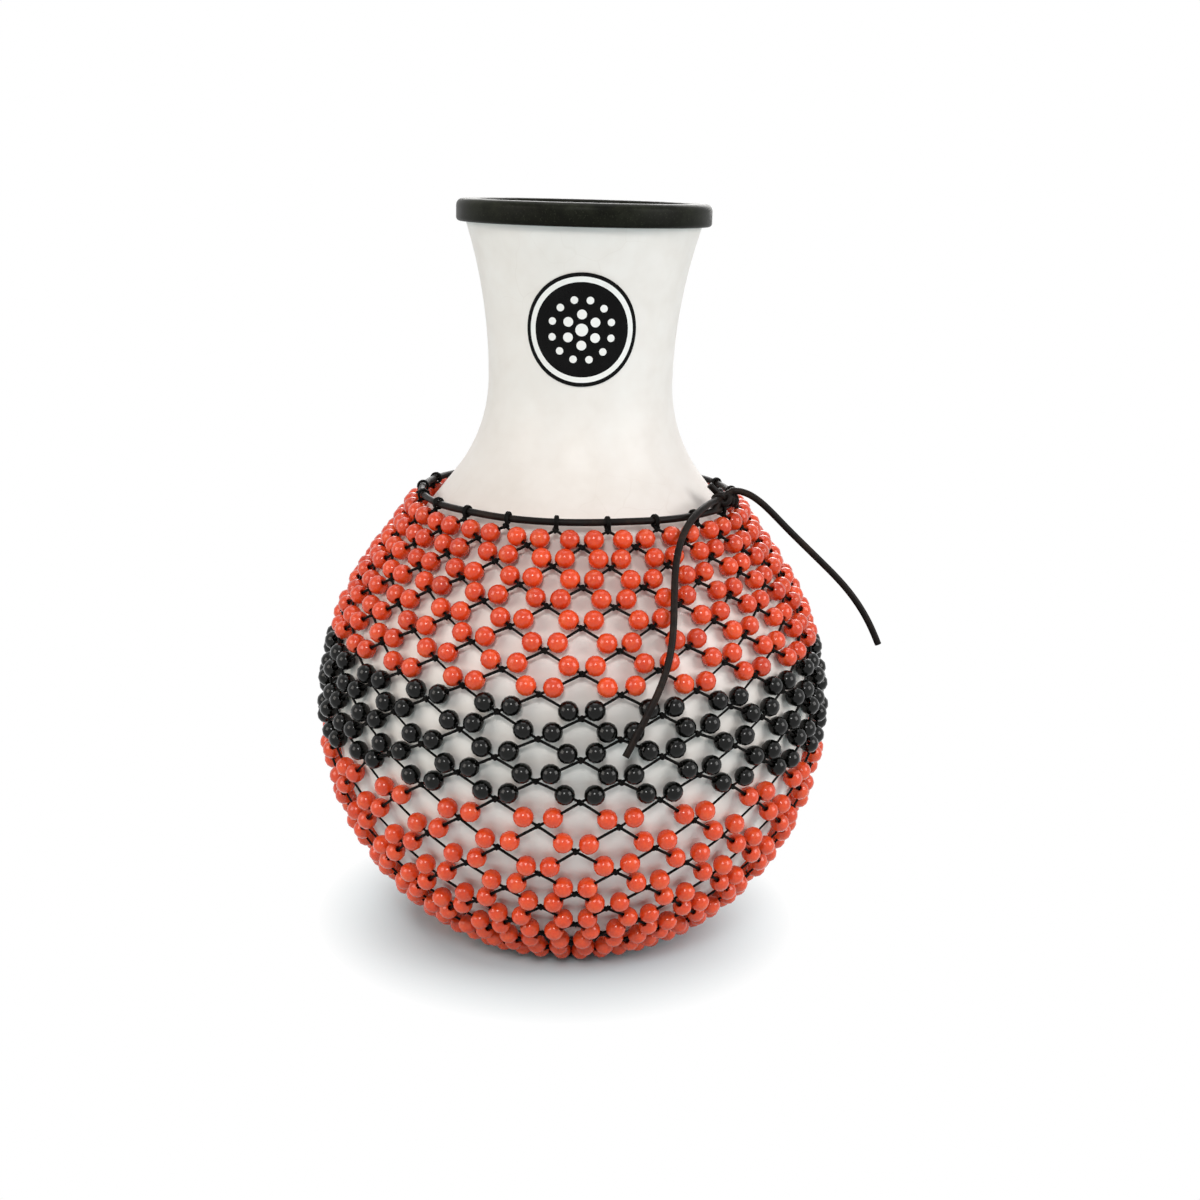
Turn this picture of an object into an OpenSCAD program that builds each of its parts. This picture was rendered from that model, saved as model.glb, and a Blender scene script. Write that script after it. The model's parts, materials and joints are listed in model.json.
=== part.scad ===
// Shekere: a hollow moulded gourd with a rubber rim, wrapped in a loose net of beads.
// Millimetres, +Z up, the front faces -Y, and the origin is under the centre of the foot.

/* [Gourd] */
// Outer radius of the round bulb
bulb_r = 108; // [96:0.5:116]
// Depth of the flat that is cut from the round bulb to stand on
foot_cut = 3; // [1:0.25:5]
// Wall thickness of the moulded gourd
wall = 3; // [2:0.25:4]
// Outer radius of the neck at its waist
waist_r = 40.3; // [36:0.1:46]
// Height of the waist over the round of the bulb
waist_rise = 39; // [33:0.5:45]
// Radius of the hollow curve between waist and shoulder
flare_r = 67; // [60:1:74]
// Height of the rim's top over the waist
neck_rise = 76; // [66:0.5:86]
// Outer radius of the gourd at its mouth
mouth_r = 53; // [49:0.25:60]

/* [Rim] */
// Thickness of the rubber outside the gourd's edge
rim_out = 1.8; // [1.4:0.1:4]
// Thickness of the rubber inside the gourd's edge, where it narrows the mouth
rim_in = 4.5; // [2:0.1:6]
// Height of the rubber rim
rim_h = 9.5; // [8:0.25:12]
// Thickness of the rubber over the gourd's edge
rim_crown = 2.5; // [1.5:0.25:4]

/* [Badge] */
// Radius of the round badge on the neck
badge_r = 23.5; // [18:0.5:26]
// Height of the badge's centre over the waist
badge_rise = 25; // [22:0.5:34]
// Thickness of the badge
badge_t = 0.6; // [0.4:0.1:1]

/* [Bead net] */
// Diameter of a bead
bead_d = 8; // [7:0.1:9]
// Diameter of the hole through a bead
bead_bore = 2; // [1.6:0.1:3]
// Thickness of the net's cord
cord_d = 1.2; // [0.8:0.1:1.4]
// Thickness across a knot in the net's cord
knot_d = 2.8; // [2.4:0.1:3.2]
// Air between the gourd and the beads
net_gap = 0.8; // [0.6:0.1:2]
// How much further the net hangs from the gourd at the bottom
net_sag = 2; // [0:0.25:3]
// Rows of beads above the dark band
upper_rows = 8; // [4:1:8]
// Rows of beads in the dark band
band_rows = 5; // [2:1:5]
// Rows of beads below the dark band
lower_rows = 10; // [6:1:10]
// How much longer than a bead the step is between rows above the band
upper_gap = 0.8; // [0.7:0.05:1]
// How much longer than a bead the step is between rows in the band
band_gap = 0.7; // [0.6:0.05:1]
// Angle under the bulb's middle at which the net ends, in degrees
net_end = 61.7; // [58:0.1:63]
// Slack between a knot and the bead that rests on it
bead_slack = 0.6; // [0.4:0.1:1]

/* [Drawstring] */
// Thickness of the drawstring and its tails
string_d = 3; // [2:0.1:3.4]
// Length of the straight part of the net under the collar
collar_run = 33.8; // [32:0.2:35]
// How far the collar stands off the line of the net
collar_lift = 1.6; // [0:0.1:3]
// Azimuth of the knot, from the front towards the right, in degrees
knot_turn = 63; // [62:0.5:64]
// Radius of the lump of the knot that the left tail leaves
lump_r = 4.2; // [3.6:0.1:4.6]
// Radius of the smaller lump beside it, under the right tail
side_lump_r = 3; // [2.4:0.1:3.2]
// Thickness of the cord ring that closes the net's bottom
base_cord_d = 2; // [1.6:0.1:2.4]

/* [Hidden] */
row_count = upper_rows + band_rows + lower_rows;

// Fits and small shapes
seat_gap = 0.05;       // between a fitted piece and what it lies on
thread_gap = 0.1;      // between a loop of cord and what it goes round
overrun = 2;           // how far a cutter reaches past what it cuts
rim_round = 3;         // rounding of the rim's top outer edge
rim_soft = 1.6;        // rounding of the rim's other edges
knot_bite = 0.3;       // how deep a strand starts inside its knot
stub_l = 1.2;          // length of cord that shows where a tail leaves the knot
knot_gap = 0.4;        // between the drawstring's knot and the loops that it lies on

// Smoothness
arc_step = 3.2;        // degrees between the points of the gourd's outline
corner_steps = 5;
round_fn = 32;
string_sides = 8;
lump_seam = 200;       // turn of a lump that keeps its seam away from what joins it
side_lump_seam = 20;

// Looseness of the net: knots wander and beads ride up their cords more towards the bottom,
// where the net hangs free, but no further than a share of the room between them
play_top = 0.25;
play_bottom = 1.3;
slide_bottom = 0.9;
turn_room_share = 0.23;
slide_room_share = 0.25;
turn_seed = 17;
drop_seed = 29;
slide_seed = 41;

// The first loop of the net hangs this many degrees from the front
front_azimuth = -90;
first_turn = -7;

bead_r = bead_d / 2;
cord_r = cord_d / 2;
knot_r = knot_d / 2;
string_r = string_d / 2;
base_cord_r = base_cord_d / 2;
rim_r = mouth_r + rim_out;
rim_bore_r = mouth_r - wall - rim_in;

// Heights over the foot
bulb_z = bulb_r - foot_cut;
waist_z = bulb_z + bulb_r + waist_rise;
badge_z = waist_z + badge_rise;
overall_h = waist_z + neck_rise;

// Outline of the gourd: a round bulb, a straight shoulder, a hollow curve to the waist and a
// slower one that opens to the mouth
edge_z = overall_h - rim_crown;
flare_c = [waist_r + flare_r, waist_z];
mouth_rise = edge_z - waist_z;
mouth_flare = mouth_r - waist_r;
throat_r = (mouth_rise * mouth_rise + mouth_flare * mouth_flare) / (2 * mouth_flare);
throat_c = [waist_r + throat_r, waist_z];
to_flare = flare_c - [0, bulb_z];
shoulder_a = atan2(to_flare.y, to_flare.x) - acos((bulb_r + flare_r) / norm(to_flare));

function on_circle(c, r, a) = c + r * [cos(a), sin(a)];
function arc(c, r, from, to) =
    let (steps = max(1, ceil(abs(to - from) / arc_step)))
    [for (k = [0:steps]) on_circle(c, r, from + (to - from) * k / steps)];

// One side of the gourd's wall from the floor level up to the edge level, moved outwards
function gourd_side(out, floor_z, top_z) = concat(
    arc([0, bulb_z], bulb_r + out, -asin((bulb_z - floor_z) / (bulb_r + out)), shoulder_a),
    arc(flare_c, flare_r - out, 180 + shoulder_a, 180),
    past_first(
        arc(throat_c, throat_r - out, 180, 180 - asin((top_z - waist_z) / (throat_r - out))))
);

function past_first(list) = [for (k = [1:len(list) - 1]) list[k]];
function reversed(list) = [for (k = [len(list) - 1:-1:0]) list[k]];

// The wall's section, thicker on both sides by grow
function wall_section(grow) = concat(
    [[0, -grow]],
    gourd_side(grow, -grow, edge_z),
    reversed(gourd_side(-wall - grow, wall + grow, edge_z)),
    [[0, wall + grow]]
);

module shell() {
    color("ivory") rotate_extrude() polygon(wall_section(0));
}

// Rubber channel pushed over the gourd's edge
function corner(c, r, from, to) =
    [for (k = [0:corner_steps]) on_circle(c, r, from + (to - from) * k / corner_steps)];

rim_bottom = overall_h - rim_h;
rim_section = concat(
    corner([rim_r - rim_soft, rim_bottom + rim_soft], rim_soft, -90, 0),
    corner([rim_r - rim_round, overall_h - rim_round], rim_round, 0, 90),
    corner([rim_bore_r + rim_soft, overall_h - rim_soft], rim_soft, 90, 180),
    [[rim_bore_r, rim_bottom]]
);

module rim_trim() {
    color("#1c1c1a") difference() {
        rotate_extrude() polygon(rim_section);
        rotate_extrude() polygon(wall_section(seat_gap));
    }
}

// Thin round badge that follows the neck
module neck_badge() {
    low = badge_z - badge_r - overrun;
    high = badge_z + badge_r + overrun;
    function skin(out) = arc(
        throat_c, throat_r - out,
        180 - asin((low - waist_z) / (throat_r - out)),
        180 - asin((high - waist_z) / (throat_r - out))
    );
    color("#161616") intersection() {
        rotate_extrude() polygon(concat(skin(seat_gap + badge_t), reversed(skin(seat_gap))));
        translate([0, 0, badge_z]) rotate([90, 0, 0]) cylinder(r = badge_r, h = bulb_r, $fn = round_fn);
    }
}

// The net's own surface, through the centres of its beads, by the distance s down from the collar
net_r = bulb_r + net_gap + bead_r;
function net_point(s) =
    s < collar_run
        ? on_circle([0, bulb_z], net_r + collar_lift * pow(1 - s / collar_run, 2), shoulder_a)
            + (collar_run - s) * [-sin(shoulder_a), cos(shoulder_a)]
        : let (a = shoulder_a - (s - collar_run) / net_r * 180 / PI)
          on_circle([0, bulb_z], net_r + net_sag * pow(min(0, sin(a)), 2), a);

// As many columns of knots as leave room for two beads to a knot where the net ends
end_r = net_r + net_sag * pow(sin(net_end), 2);
columns = floor(PI * end_r * cos(net_end) / bead_d);

// Rows of knots: row 0 hangs on the collar, and the others each carry a row of beads above them
upper_pitch = bead_d + upper_gap;
band_pitch = bead_d + band_gap;
bead_seat = knot_r + bead_slack + bead_r;
loop_r = string_r + thread_gap + cord_r;
hang_s = loop_r + knot_r;
first_s = hang_s + bead_seat + cord_d;
upper_s = first_s + (upper_rows - 1) * upper_pitch;
band_s = upper_s + band_rows * band_pitch;
end_s = collar_run + (shoulder_a + net_end) * PI / 180 * net_r;
lower_pitch = (end_s - band_s) / lower_rows;
function knot_s(i) =
    i == 0 ? hang_s
    : i <= upper_rows ? first_s + (i - 1) * upper_pitch
    : i <= upper_rows + band_rows ? upper_s + (i - upper_rows) * band_pitch
    : band_s + (i - upper_rows - band_rows) * lower_pitch;

knot_total = (row_count + 1) * columns;
turn_shares = rands(-1, 1, knot_total, turn_seed);
drop_shares = rands(-1, 1, knot_total, drop_seed);
slide_shares = rands(0, 1, 2 * knot_total, slide_seed);
function column(j) = (j + columns) % columns;
function play(i) = i == 0 ? 0 : play_top + (play_bottom - play_top) * i / row_count;
function room(r) = 2 * PI * r / columns - 2 * bead_d;
function net_turn(i, j) = front_azimuth + first_turn + (j + (i % 2) / 2) * 360 / columns;
function knot_at(i, j) =
    let (
        n = i * columns + column(j),
        hang = i == row_count ? 0 : play(i),
        rz = net_point(knot_s(i) + hang * drop_shares[n]),
        sway = min(play(i), turn_room_share * room(rz.x)),
        a = net_turn(i, j) + sway * turn_shares[n] / rz.x * 180 / PI
    )
    [rz.x * cos(a), rz.x * sin(a), rz.y];

// A knot's strand runs up to a knot of the row above: side 0 is the left one, side 1 the right
function knot_over(i, j, side) = knot_at(i - 1, j - 1 + side + (i % 2));

// Beads rest on the knot, but two on one knot still lie side by side
function bead_place(i, j, side) =
    let (
        low = knot_at(i, j),
        run = knot_over(i, j, side) - low,
        round_the_net = cross([low.x, low.y], [run.x, run.y]) / norm([low.x, low.y]),
        level = abs(round_the_net) / norm(run),
        ease = min(slide_bottom * i / row_count, slide_room_share * room(norm([low.x, low.y]))),
        slide = ease * slide_shares[2 * (i * columns + j) + side]
    )
    low + run / norm(run) * max(bead_seat + slide, (bead_r + thread_gap) / level);

// Puts its children on a line from a towards b, with +Z along it
module along(a, b) {
    run = b - a;
    translate(a) rotate([0, atan2(norm([run.x, run.y]), run.z), atan2(run.y, run.x)]) children();
}

module bead() {
    difference() {
        sphere(d = bead_d, $fn = round_fn);
        cylinder(d = bead_bore, h = bead_d + overrun, center = true, $fn = round_fn);
    }
}

function row_number(i) = str(i < 10 ? "0" : "", i);
function beads_name(i) = str("beads_row_", row_number(i));
function cord_name(i) = str("net_cord_row_", row_number(i));
function in_band(i) = i > upper_rows && i <= upper_rows + band_rows;

module beads_row(i) {
    color(in_band(i) ? "#1a1a1c" : "#e2502a")
        for (j = [0:columns - 1], side = [0, 1]) {
            place = bead_place(i, j, side);
            along(place, knot_over(i, j, side)) bead();
        }
}

// A knot with its two strands, which reach up to the knots above. Its poles face in and out of
// the net and its seam faces down, clear of the strands
module cord_fork(i, j) {
    low = knot_at(i, j);
    translate(low) rotate([0, 90, atan2(low.y, low.x)]) sphere(d = knot_d, $fn = round_fn);
    for (side = [0, 1]) {
        run = knot_over(i, j, side) - low;
        strand = norm(run) - 2 * knot_r + knot_bite - seat_gap;
        along(low, low + run) translate([0, 0, knot_r - knot_bite])
            cylinder(d = cord_d, h = strand, $fn = round_fn);
    }
}

module net_cord_row(i) {
    color("#202020") for (j = [0:columns - 1]) cord_fork(i, j);
}

// A loop of the net's cord round a ring cord
module loop_on_ring(ring_r, ring_z, ring_cord_r, a) {
    rotate(a) translate([ring_r, 0, ring_z]) rotate([90, 0, 0]) rotate_extrude($fn = round_fn)
        translate([ring_cord_r + thread_gap + cord_r, 0]) circle(d = cord_d, $fn = round_fn);
}

collar_at = net_point(0);
base_loop_r = base_cord_r + thread_gap + cord_r;
base_at = net_point(knot_s(row_count) + knot_r + seat_gap + cord_r + base_loop_r);

module collar_loops() {
    color("#202020") for (j = [0:columns - 1]) {
        loop_on_ring(collar_at.x, collar_at.y, string_r, net_turn(0, j));
        translate(knot_at(0, j)) sphere(d = knot_d, $fn = round_fn);
    }
}

module ring_cord(r, z, d) {
    translate([0, 0, z]) rotate_extrude($fn = 96) translate([r, 0]) circle(d = d, $fn = round_fn);
}

module collar_cord() {
    color("#1a1a1a") ring_cord(collar_at.x, collar_at.y, string_d);
}

module base_cord() {
    color("#1a1a1a") ring_cord(base_at.x, base_at.y, base_cord_d);
}

module base_loops() {
    color("#202020") for (j = [0:columns - 1]) {
        knot = knot_at(row_count, j);
        loop_on_ring(base_at.x, base_at.y, base_cord_r, atan2(knot.y, knot.x));
    }
}

// Routes of the two tails, from the knot outwards
left_route = [
    [59, -37.5, 206.5], [57.5, -40.5, 206.5], [53.5, -48.5, 206.5], [48.5, -56.5, 204.5],
    [45.5, -62, 201.5], [42.5, -67, 197.5], [41, -72, 192.5], [40, -76.5, 187.5],
    [39.5, -81.5, 182.5], [39.5, -86, 177], [39.5, -90, 171.5], [39.5, -94, 166],
    [39, -98, 160], [38, -101.5, 154], [36.5, -104.5, 148], [33.5, -107.5, 142],
    [30.5, -110.5, 136.5], [27.5, -112.5, 130.5], [24, -114.5, 124.5], [21, -116, 118.5]
];
right_route = [
    [66, -31.5, 209.5], [68.5, -31.5, 210.5], [73, -32, 210], [78.5, -32.5, 206],
    [83, -33, 201], [87.5, -33, 196.5], [92, -33.5, 192], [97, -34, 188],
    [101.5, -34.5, 183.5], [106.5, -35, 179], [111, -35.5, 175], [116, -36, 170.5],
    [120, -36, 165.5], [124, -36.5, 160], [127.5, -37, 155], [130, -37, 149], [132, -37, 144.5]
];
lump_at = [61.5, -32.5, 206.8];
side_lump_at = [66, -29, 205.3];

function unit(v) = v / norm(v);
function heading(route, i) =
    unit(route[min(i + 1, len(route) - 1)] - route[max(i - 1, 0)]);

// A closed tube along a route. side_axis is never in line with the route
module string_along(route, side_axis) {
    n = string_sides;
    last = len(route) - 1;
    points = concat(
        [for (i = [0:last], k = [0:n - 1])
            let (
                ahead = heading(route, i),
                u = unit(cross(ahead, side_axis)),
                v = cross(ahead, u),
                a = 360 * k / n
            )
            route[i] + string_r * (cos(a) * u + sin(a) * v)],
        [route[0], route[last]]
    );
    start = len(points) - 2;
    finish = start + 1;
    faces = concat(
        [for (i = [0:last - 1], k = [0:n - 1])
            [i * n + k, (i + 1) * n + k, (i + 1) * n + (k + 1) % n]],
        [for (i = [0:last - 1], k = [0:n - 1])
            [i * n + k, (i + 1) * n + (k + 1) % n, i * n + (k + 1) % n]],
        [for (k = [0:n - 1]) [start, k, (k + 1) % n]],
        [for (k = [0:n - 1]) [finish, last * n + (k + 1) % n, last * n + k]]
    );
    polyhedron(points, faces);
}

module drawstring_tail_left() {
    color("#1a1a1a") string_along(left_route, [1, 0, 0]);
}

module drawstring_tail_right() {
    color("#1a1a1a") string_along(right_route, [0, 1, 0]);
}

// The drawstring's knot: two lumps with the stubs of the tails, hollowed to lie on the collar and
// the net's loops. A lump's poles lie along the collar and its seam faces away from what joins it
knot_azimuth = front_azimuth + knot_turn;
module knot_lump(at, r, seam) {
    translate(at) rotate([0, 0, knot_azimuth]) rotate([90, seam, 0]) sphere(r = r, $fn = round_fn);
}

module collar_knot() {
    hollow_r = string_r + thread_gap + cord_d + knot_gap;
    hollow_l = 2 * (side_lump_at.x - lump_at.x + lump_r + side_lump_r);
    color("#1a1a1a") difference() {
        union() {
            knot_lump(lump_at, lump_r, lump_seam);
            knot_lump(side_lump_at, side_lump_r, side_lump_seam);
            for (route = [left_route, right_route]) {
                out = unit(route[0] - route[1]);
                along(route[0], route[0] + out)
                    cylinder(d = string_d, h = lump_r + stub_l, $fn = round_fn);
            }
        }
        rotate(knot_azimuth) translate([collar_at.x, 0, collar_at.y]) rotate([90, 0, 0])
            cylinder(r = hollow_r, h = hollow_l, center = true, $fn = round_fn);
    }
}

shell();
rim_trim();
neck_badge();
for (i = [1:row_count]) beads_row(i);
for (i = [1:row_count]) net_cord_row(i);
collar_loops();
collar_cord();
collar_knot();
drawstring_tail_left();
drawstring_tail_right();
base_loops();
base_cord();
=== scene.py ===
"""Dresses the shekere: a moulded gourd with a rubber rim, in a loose net of glossy beads.

Everything is in metres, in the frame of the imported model: +Z up, the front faces -Y.
"""

import json
import logging
import math
import random
from contextlib import contextmanager
from dataclasses import dataclass, field, replace
from enum import Enum
from typing import Callable, Iterator, Optional, Sequence, Union

import bpy
import numpy as np
from mathutils import Matrix, Vector


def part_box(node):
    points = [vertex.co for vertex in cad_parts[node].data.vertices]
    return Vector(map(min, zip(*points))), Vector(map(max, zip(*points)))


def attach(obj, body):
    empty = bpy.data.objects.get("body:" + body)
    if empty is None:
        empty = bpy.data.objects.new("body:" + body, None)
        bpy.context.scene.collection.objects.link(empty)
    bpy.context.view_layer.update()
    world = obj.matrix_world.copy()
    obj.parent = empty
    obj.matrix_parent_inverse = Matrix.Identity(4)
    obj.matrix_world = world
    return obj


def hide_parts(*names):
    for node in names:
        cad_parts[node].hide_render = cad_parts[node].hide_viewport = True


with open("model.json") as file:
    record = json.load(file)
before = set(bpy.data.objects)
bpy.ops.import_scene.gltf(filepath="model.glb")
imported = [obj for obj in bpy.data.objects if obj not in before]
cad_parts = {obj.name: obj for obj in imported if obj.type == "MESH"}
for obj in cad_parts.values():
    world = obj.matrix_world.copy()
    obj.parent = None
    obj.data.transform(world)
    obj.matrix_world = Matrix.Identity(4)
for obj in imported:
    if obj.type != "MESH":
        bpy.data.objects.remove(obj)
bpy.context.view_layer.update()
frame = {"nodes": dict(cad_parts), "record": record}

LOG = logging.getLogger("shekere")
MM = 0.001
WELD = 1e-6
UP = Vector((0.0, 0.0, 1.0))

Colour = tuple[float, float, float, float]
Pair = tuple[float, float]
Place = tuple[float, float, float]
Piece = bpy.types.Object
Material = bpy.types.Material
Node = bpy.types.Node
Tree = bpy.types.NodeTree
Socket = bpy.types.NodeSocket
SocketValue = Union[Socket, float, tuple, Vector]


class Body(Enum):
    """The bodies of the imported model."""

    GOURD = "gourd"
    NET = "net"


class Slot(Enum):
    """The record's material slots."""

    SHELL = "gourd_shell"
    RIM = "rim_rubber"
    BADGE = "badge_film"
    ORANGE = "bead_orange"
    BLACK = "bead_black"
    TWINE = "net_cord"
    STRING = "drawstring"


def ink(text: str) -> Colour:
    """Turns a screen colour into Blender's linear one.

    Args:
        text: six hexadecimal digits, red, green and blue.

    Returns:
        The linear colour, opaque.
    """
    shares = [int(text[i:i + 2], 16) / 255 for i in (0, 2, 4)]
    linear = [s / 12.92 if s <= 0.04045 else ((s + 0.055) / 1.055) ** 2.4 for s in shares]
    return (linear[0], linear[1], linear[2], 1.0)


# Modelling helpers

def mm(place: Place) -> Vector:
    """A place that is given in millimetres."""
    return Vector(place) * MM


def from_axis(point: Vector) -> float:
    """How far a point lies from the Z axis."""
    return math.hypot(point.x, point.y)


def compass(turn: float) -> Vector:
    """The level direction at an azimuth."""
    return Vector((math.cos(turn), math.sin(turn), 0.0))


def pick(*objects: Piece) -> None:
    """Selects these objects alone and makes the first one active.

    Args:
        objects: what is selected.
    """
    bpy.ops.object.select_all(action="DESELECT")
    for item in objects:
        item.select_set(True)
    bpy.context.view_layer.objects.active = objects[0]


@contextmanager
def editing() -> Iterator[None]:
    """Opens the active object's mesh, all of it selected, and closes it afterwards.

    Returns:
        A context in which mesh operators work.
    """
    bpy.ops.object.mode_set(mode="EDIT")
    bpy.ops.mesh.select_mode(type="VERT")
    bpy.ops.mesh.select_all(action="SELECT")
    yield
    bpy.ops.object.mode_set(mode="OBJECT")


def close_up() -> None:
    """Merges the doubles of the open mesh and turns its faces outwards."""
    bpy.ops.mesh.select_all(action="SELECT")
    bpy.ops.mesh.remove_doubles(threshold=WELD * 5)
    bpy.ops.mesh.normals_make_consistent(inside=False)


def choose(item: Piece, kind: str, wanted: Callable[[Vector], bool]) -> None:
    """Selects the vertices, or the edges with both ends, that pass a test.

    Args:
        item: the object, whose mesh is open.
        kind: VERT or EDGE.
        wanted: the test of a vertex's place.
    """
    bpy.ops.mesh.select_mode(type=kind)
    bpy.ops.mesh.select_all(action="DESELECT")
    bpy.ops.object.mode_set(mode="OBJECT")
    vertices = item.data.vertices
    if kind == "VERT":
        for vertex in vertices:
            vertex.select = wanted(vertex.co)
    else:
        for edge in item.data.edges:
            edge.select = all(wanted(vertices[v].co) for v in edge.vertices)
    bpy.ops.object.mode_set(mode="EDIT")


def arc(centre: Pair, radius: float, start: float, stop: float, steps: int) -> list[Pair]:
    """Points along an arc of a profile, both ends included.

    Args:
        centre: (radius, height) of the arc's centre.
        radius: the arc's own radius.
        start: the angle where it starts, in radians.
        stop: the angle where it ends.
        steps: how many pieces it is cut in.

    Returns:
        (radius, height) points.
    """
    angles = [start + (stop - start) * k / steps for k in range(steps + 1)]
    return [(centre[0] + radius * math.cos(a), centre[1] + radius * math.sin(a)) for a in angles]


def lathe(name: str, profile: Sequence[Pair], steps: int) -> Piece:
    """Draws a profile point by point and spins it round the Z axis.

    Args:
        name: the new object's name.
        profile: (radius, height) points in metres; an end on the axis becomes a pole.
        steps: how many faces go round.

    Returns:
        The turned object, smooth, with its faces pointing outwards.
    """
    bpy.ops.object.select_all(action="DESELECT")
    bpy.ops.mesh.primitive_plane_add(size=MM)
    made = bpy.context.object
    made.name = name
    with editing():
        bpy.ops.mesh.merge(type="CENTER")
        bpy.ops.transform.translate(value=(profile[0][0], 0, profile[0][1]))
        for (r0, z0), (r1, z1) in zip(profile, profile[1:]):
            bpy.ops.mesh.extrude_vertices_move(TRANSFORM_OT_translate={"value": (r1 - r0, 0, z1 - z0)})
        bpy.ops.mesh.select_all(action="SELECT")
        bpy.ops.mesh.spin(steps=steps, angle=math.tau, center=(0, 0, 0), axis=UP)
        close_up()
    bpy.ops.object.shade_smooth()
    return made


def disc(sides: int, radius: float, place: Place = (0.0, 0.0, 0.0)) -> Piece:
    """Adds a flat round face that looks up, with its place in its mesh.

    Args:
        sides: how many corners it has.
        radius: its radius.
        place: its centre.

    Returns:
        The disc.
    """
    bpy.ops.object.select_all(action="DESELECT")
    bpy.ops.mesh.primitive_circle_add(vertices=sides, radius=radius, fill_type="NGON", location=place)
    bpy.ops.object.transform_apply(location=True, rotation=True, scale=True)
    return bpy.context.object


def join(name: str, parts: Sequence[Piece]) -> Piece:
    """Joins objects into one, which keeps the first one's materials, and names it.

    Args:
        name: the joined object's name.
        parts: two objects or more.

    Returns:
        The joined object.
    """
    pick(*parts)
    bpy.ops.object.join()
    made = bpy.context.object
    made.name = made.data.name = name
    return made


def put(name: str, data: bpy.types.ID) -> Piece:
    """Puts data in the scene as an object.

    Args:
        name: the object's name.
        data: its data.

    Returns:
        The object.
    """
    made = bpy.data.objects.new(name, data)
    bpy.context.scene.collection.objects.link(made)
    return made


def stamp(template: Piece, place: Matrix) -> Piece:
    """Copies a template with its own mesh, moved to its place.

    Args:
        template: the object to copy.
        place: where the copy goes.

    Returns:
        The copy.
    """
    data = template.data.copy()
    data.transform(place)
    return put(template.name, data)


def smooth_route(points: Sequence[Vector], rounds: int) -> list[Vector]:
    """Puts new points on a smooth curve through a route's own points.

    Args:
        points: the route's points, which the curve keeps.
        rounds: how many pieces each stretch is cut in.

    Returns:
        The finer route.
    """
    held = [points[0], *points, points[-1]]
    fine = []
    for a, b, c, d in zip(held, held[1:], held[2:], held[3:]):
        for k in range(rounds):
            t = k / rounds
            fine.append(0.5 * (2 * b + (c - a) * t + (2 * a - 5 * b + 4 * c - d) * t * t
                               + (3 * b - a - 3 * c + d) * t ** 3))
    return fine + [points[-1].copy()]


def eased(points: Sequence[Vector], rounds: int) -> list[Vector]:
    """Takes the small kinks out of a route, with its two ends kept.

    Args:
        points: the route's points.
        rounds: how often each inner point moves towards its neighbours.

    Returns:
        As many points, on a smoother line.
    """
    for _ in range(rounds):
        inner = [(a + 2 * b + c) / 4 for a, b, c in zip(points, points[1:], points[2:])]
        points = [points[0], *inner, points[-1]]
    return list(points)


def tube(name: str, routes: Sequence[Sequence[Vector]], diameter: float, resolution: int,
         closed: bool = False) -> Piece:
    """Draws cord along routes, as a closed mesh that keeps its UV map.

    Args:
        name: the new object's name.
        routes: one list of points for each length of cord.
        diameter: thickness of the cord.
        resolution: the curve's bevel resolution.
        closed: whether each route is a ring.

    Returns:
        The cord, all its lengths in one mesh.
    """
    line = bpy.data.curves.new(name, "CURVE")
    line.dimensions = "3D"
    line.twist_mode = "MINIMUM"
    line.bevel_depth = diameter / 2
    line.bevel_resolution = resolution
    line.use_fill_caps = not closed
    for route in routes:
        spline = line.splines.new("POLY")
        spline.points.add(len(route) - 1)
        for point, place in zip(spline.points, route):
            point.co = (*place, 1.0)
        spline.use_cyclic_u = closed
        spline.use_smooth = True
    pick(put(name, line))
    bpy.ops.object.convert(target="MESH")
    with editing():
        close_up()
    return bpy.context.object


def overhand(steps: int, depth: float) -> list[Vector]:
    """The closed line of an overhand knot, flat on the floor and 3 units in radius.

    Args:
        steps: how many points.
        depth: how far the line dips and rises, in the same units.

    Returns:
        The points.
    """
    turns = [math.tau * k / steps for k in range(steps)]
    return [Vector((math.sin(t) + 2 * math.sin(2 * t), math.cos(t) - 2 * math.cos(2 * t),
                    depth * math.sin(3 * t))) for t in turns]


def tag(item: Piece, name: str, value: Union[float, Sequence[float]]) -> None:
    """Writes a named number on each vertex of an object's mesh.

    Args:
        item: the mesh object.
        name: the attribute's name.
        value: one number for all vertices, or one for each.
    """
    data = item.data
    layer = data.attributes.get(name) or data.attributes.new(name, "FLOAT", "POINT")
    numbers = np.broadcast_to(np.asarray(value, dtype=np.float32), len(data.vertices))
    layer.data.foreach_set("value", np.ascontiguousarray(numbers))


def dress(item: Piece, *materials: Material) -> None:
    """Gives an object these materials and no others.

    Args:
        item: the mesh object.
        materials: one for each material number of its faces.
    """
    item.data.materials.clear()
    for material in materials:
        item.data.materials.append(material)


def seat(item: Piece, body: Body, slot: Slot, node: str,
         material: Optional[Material] = None) -> Piece:
    """Rides a finished piece on its body, in the place of its CAD node.

    Args:
        item: the piece.
        body: the body that it moves with.
        slot: the record's slot that its finish belongs to; not used.
        node: the CAD node that it stands for.
        material: its finish, unless it is dressed already.

    Returns:
        The piece.
    """
    if material is not None:
        dress(item, material)
    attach(item, body.value)
    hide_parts(node)
    LOG.info("%s: %d faces, on %s, for %s", item.name, len(item.data.polygons), body.value, node)
    return item


# Shader helpers

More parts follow.
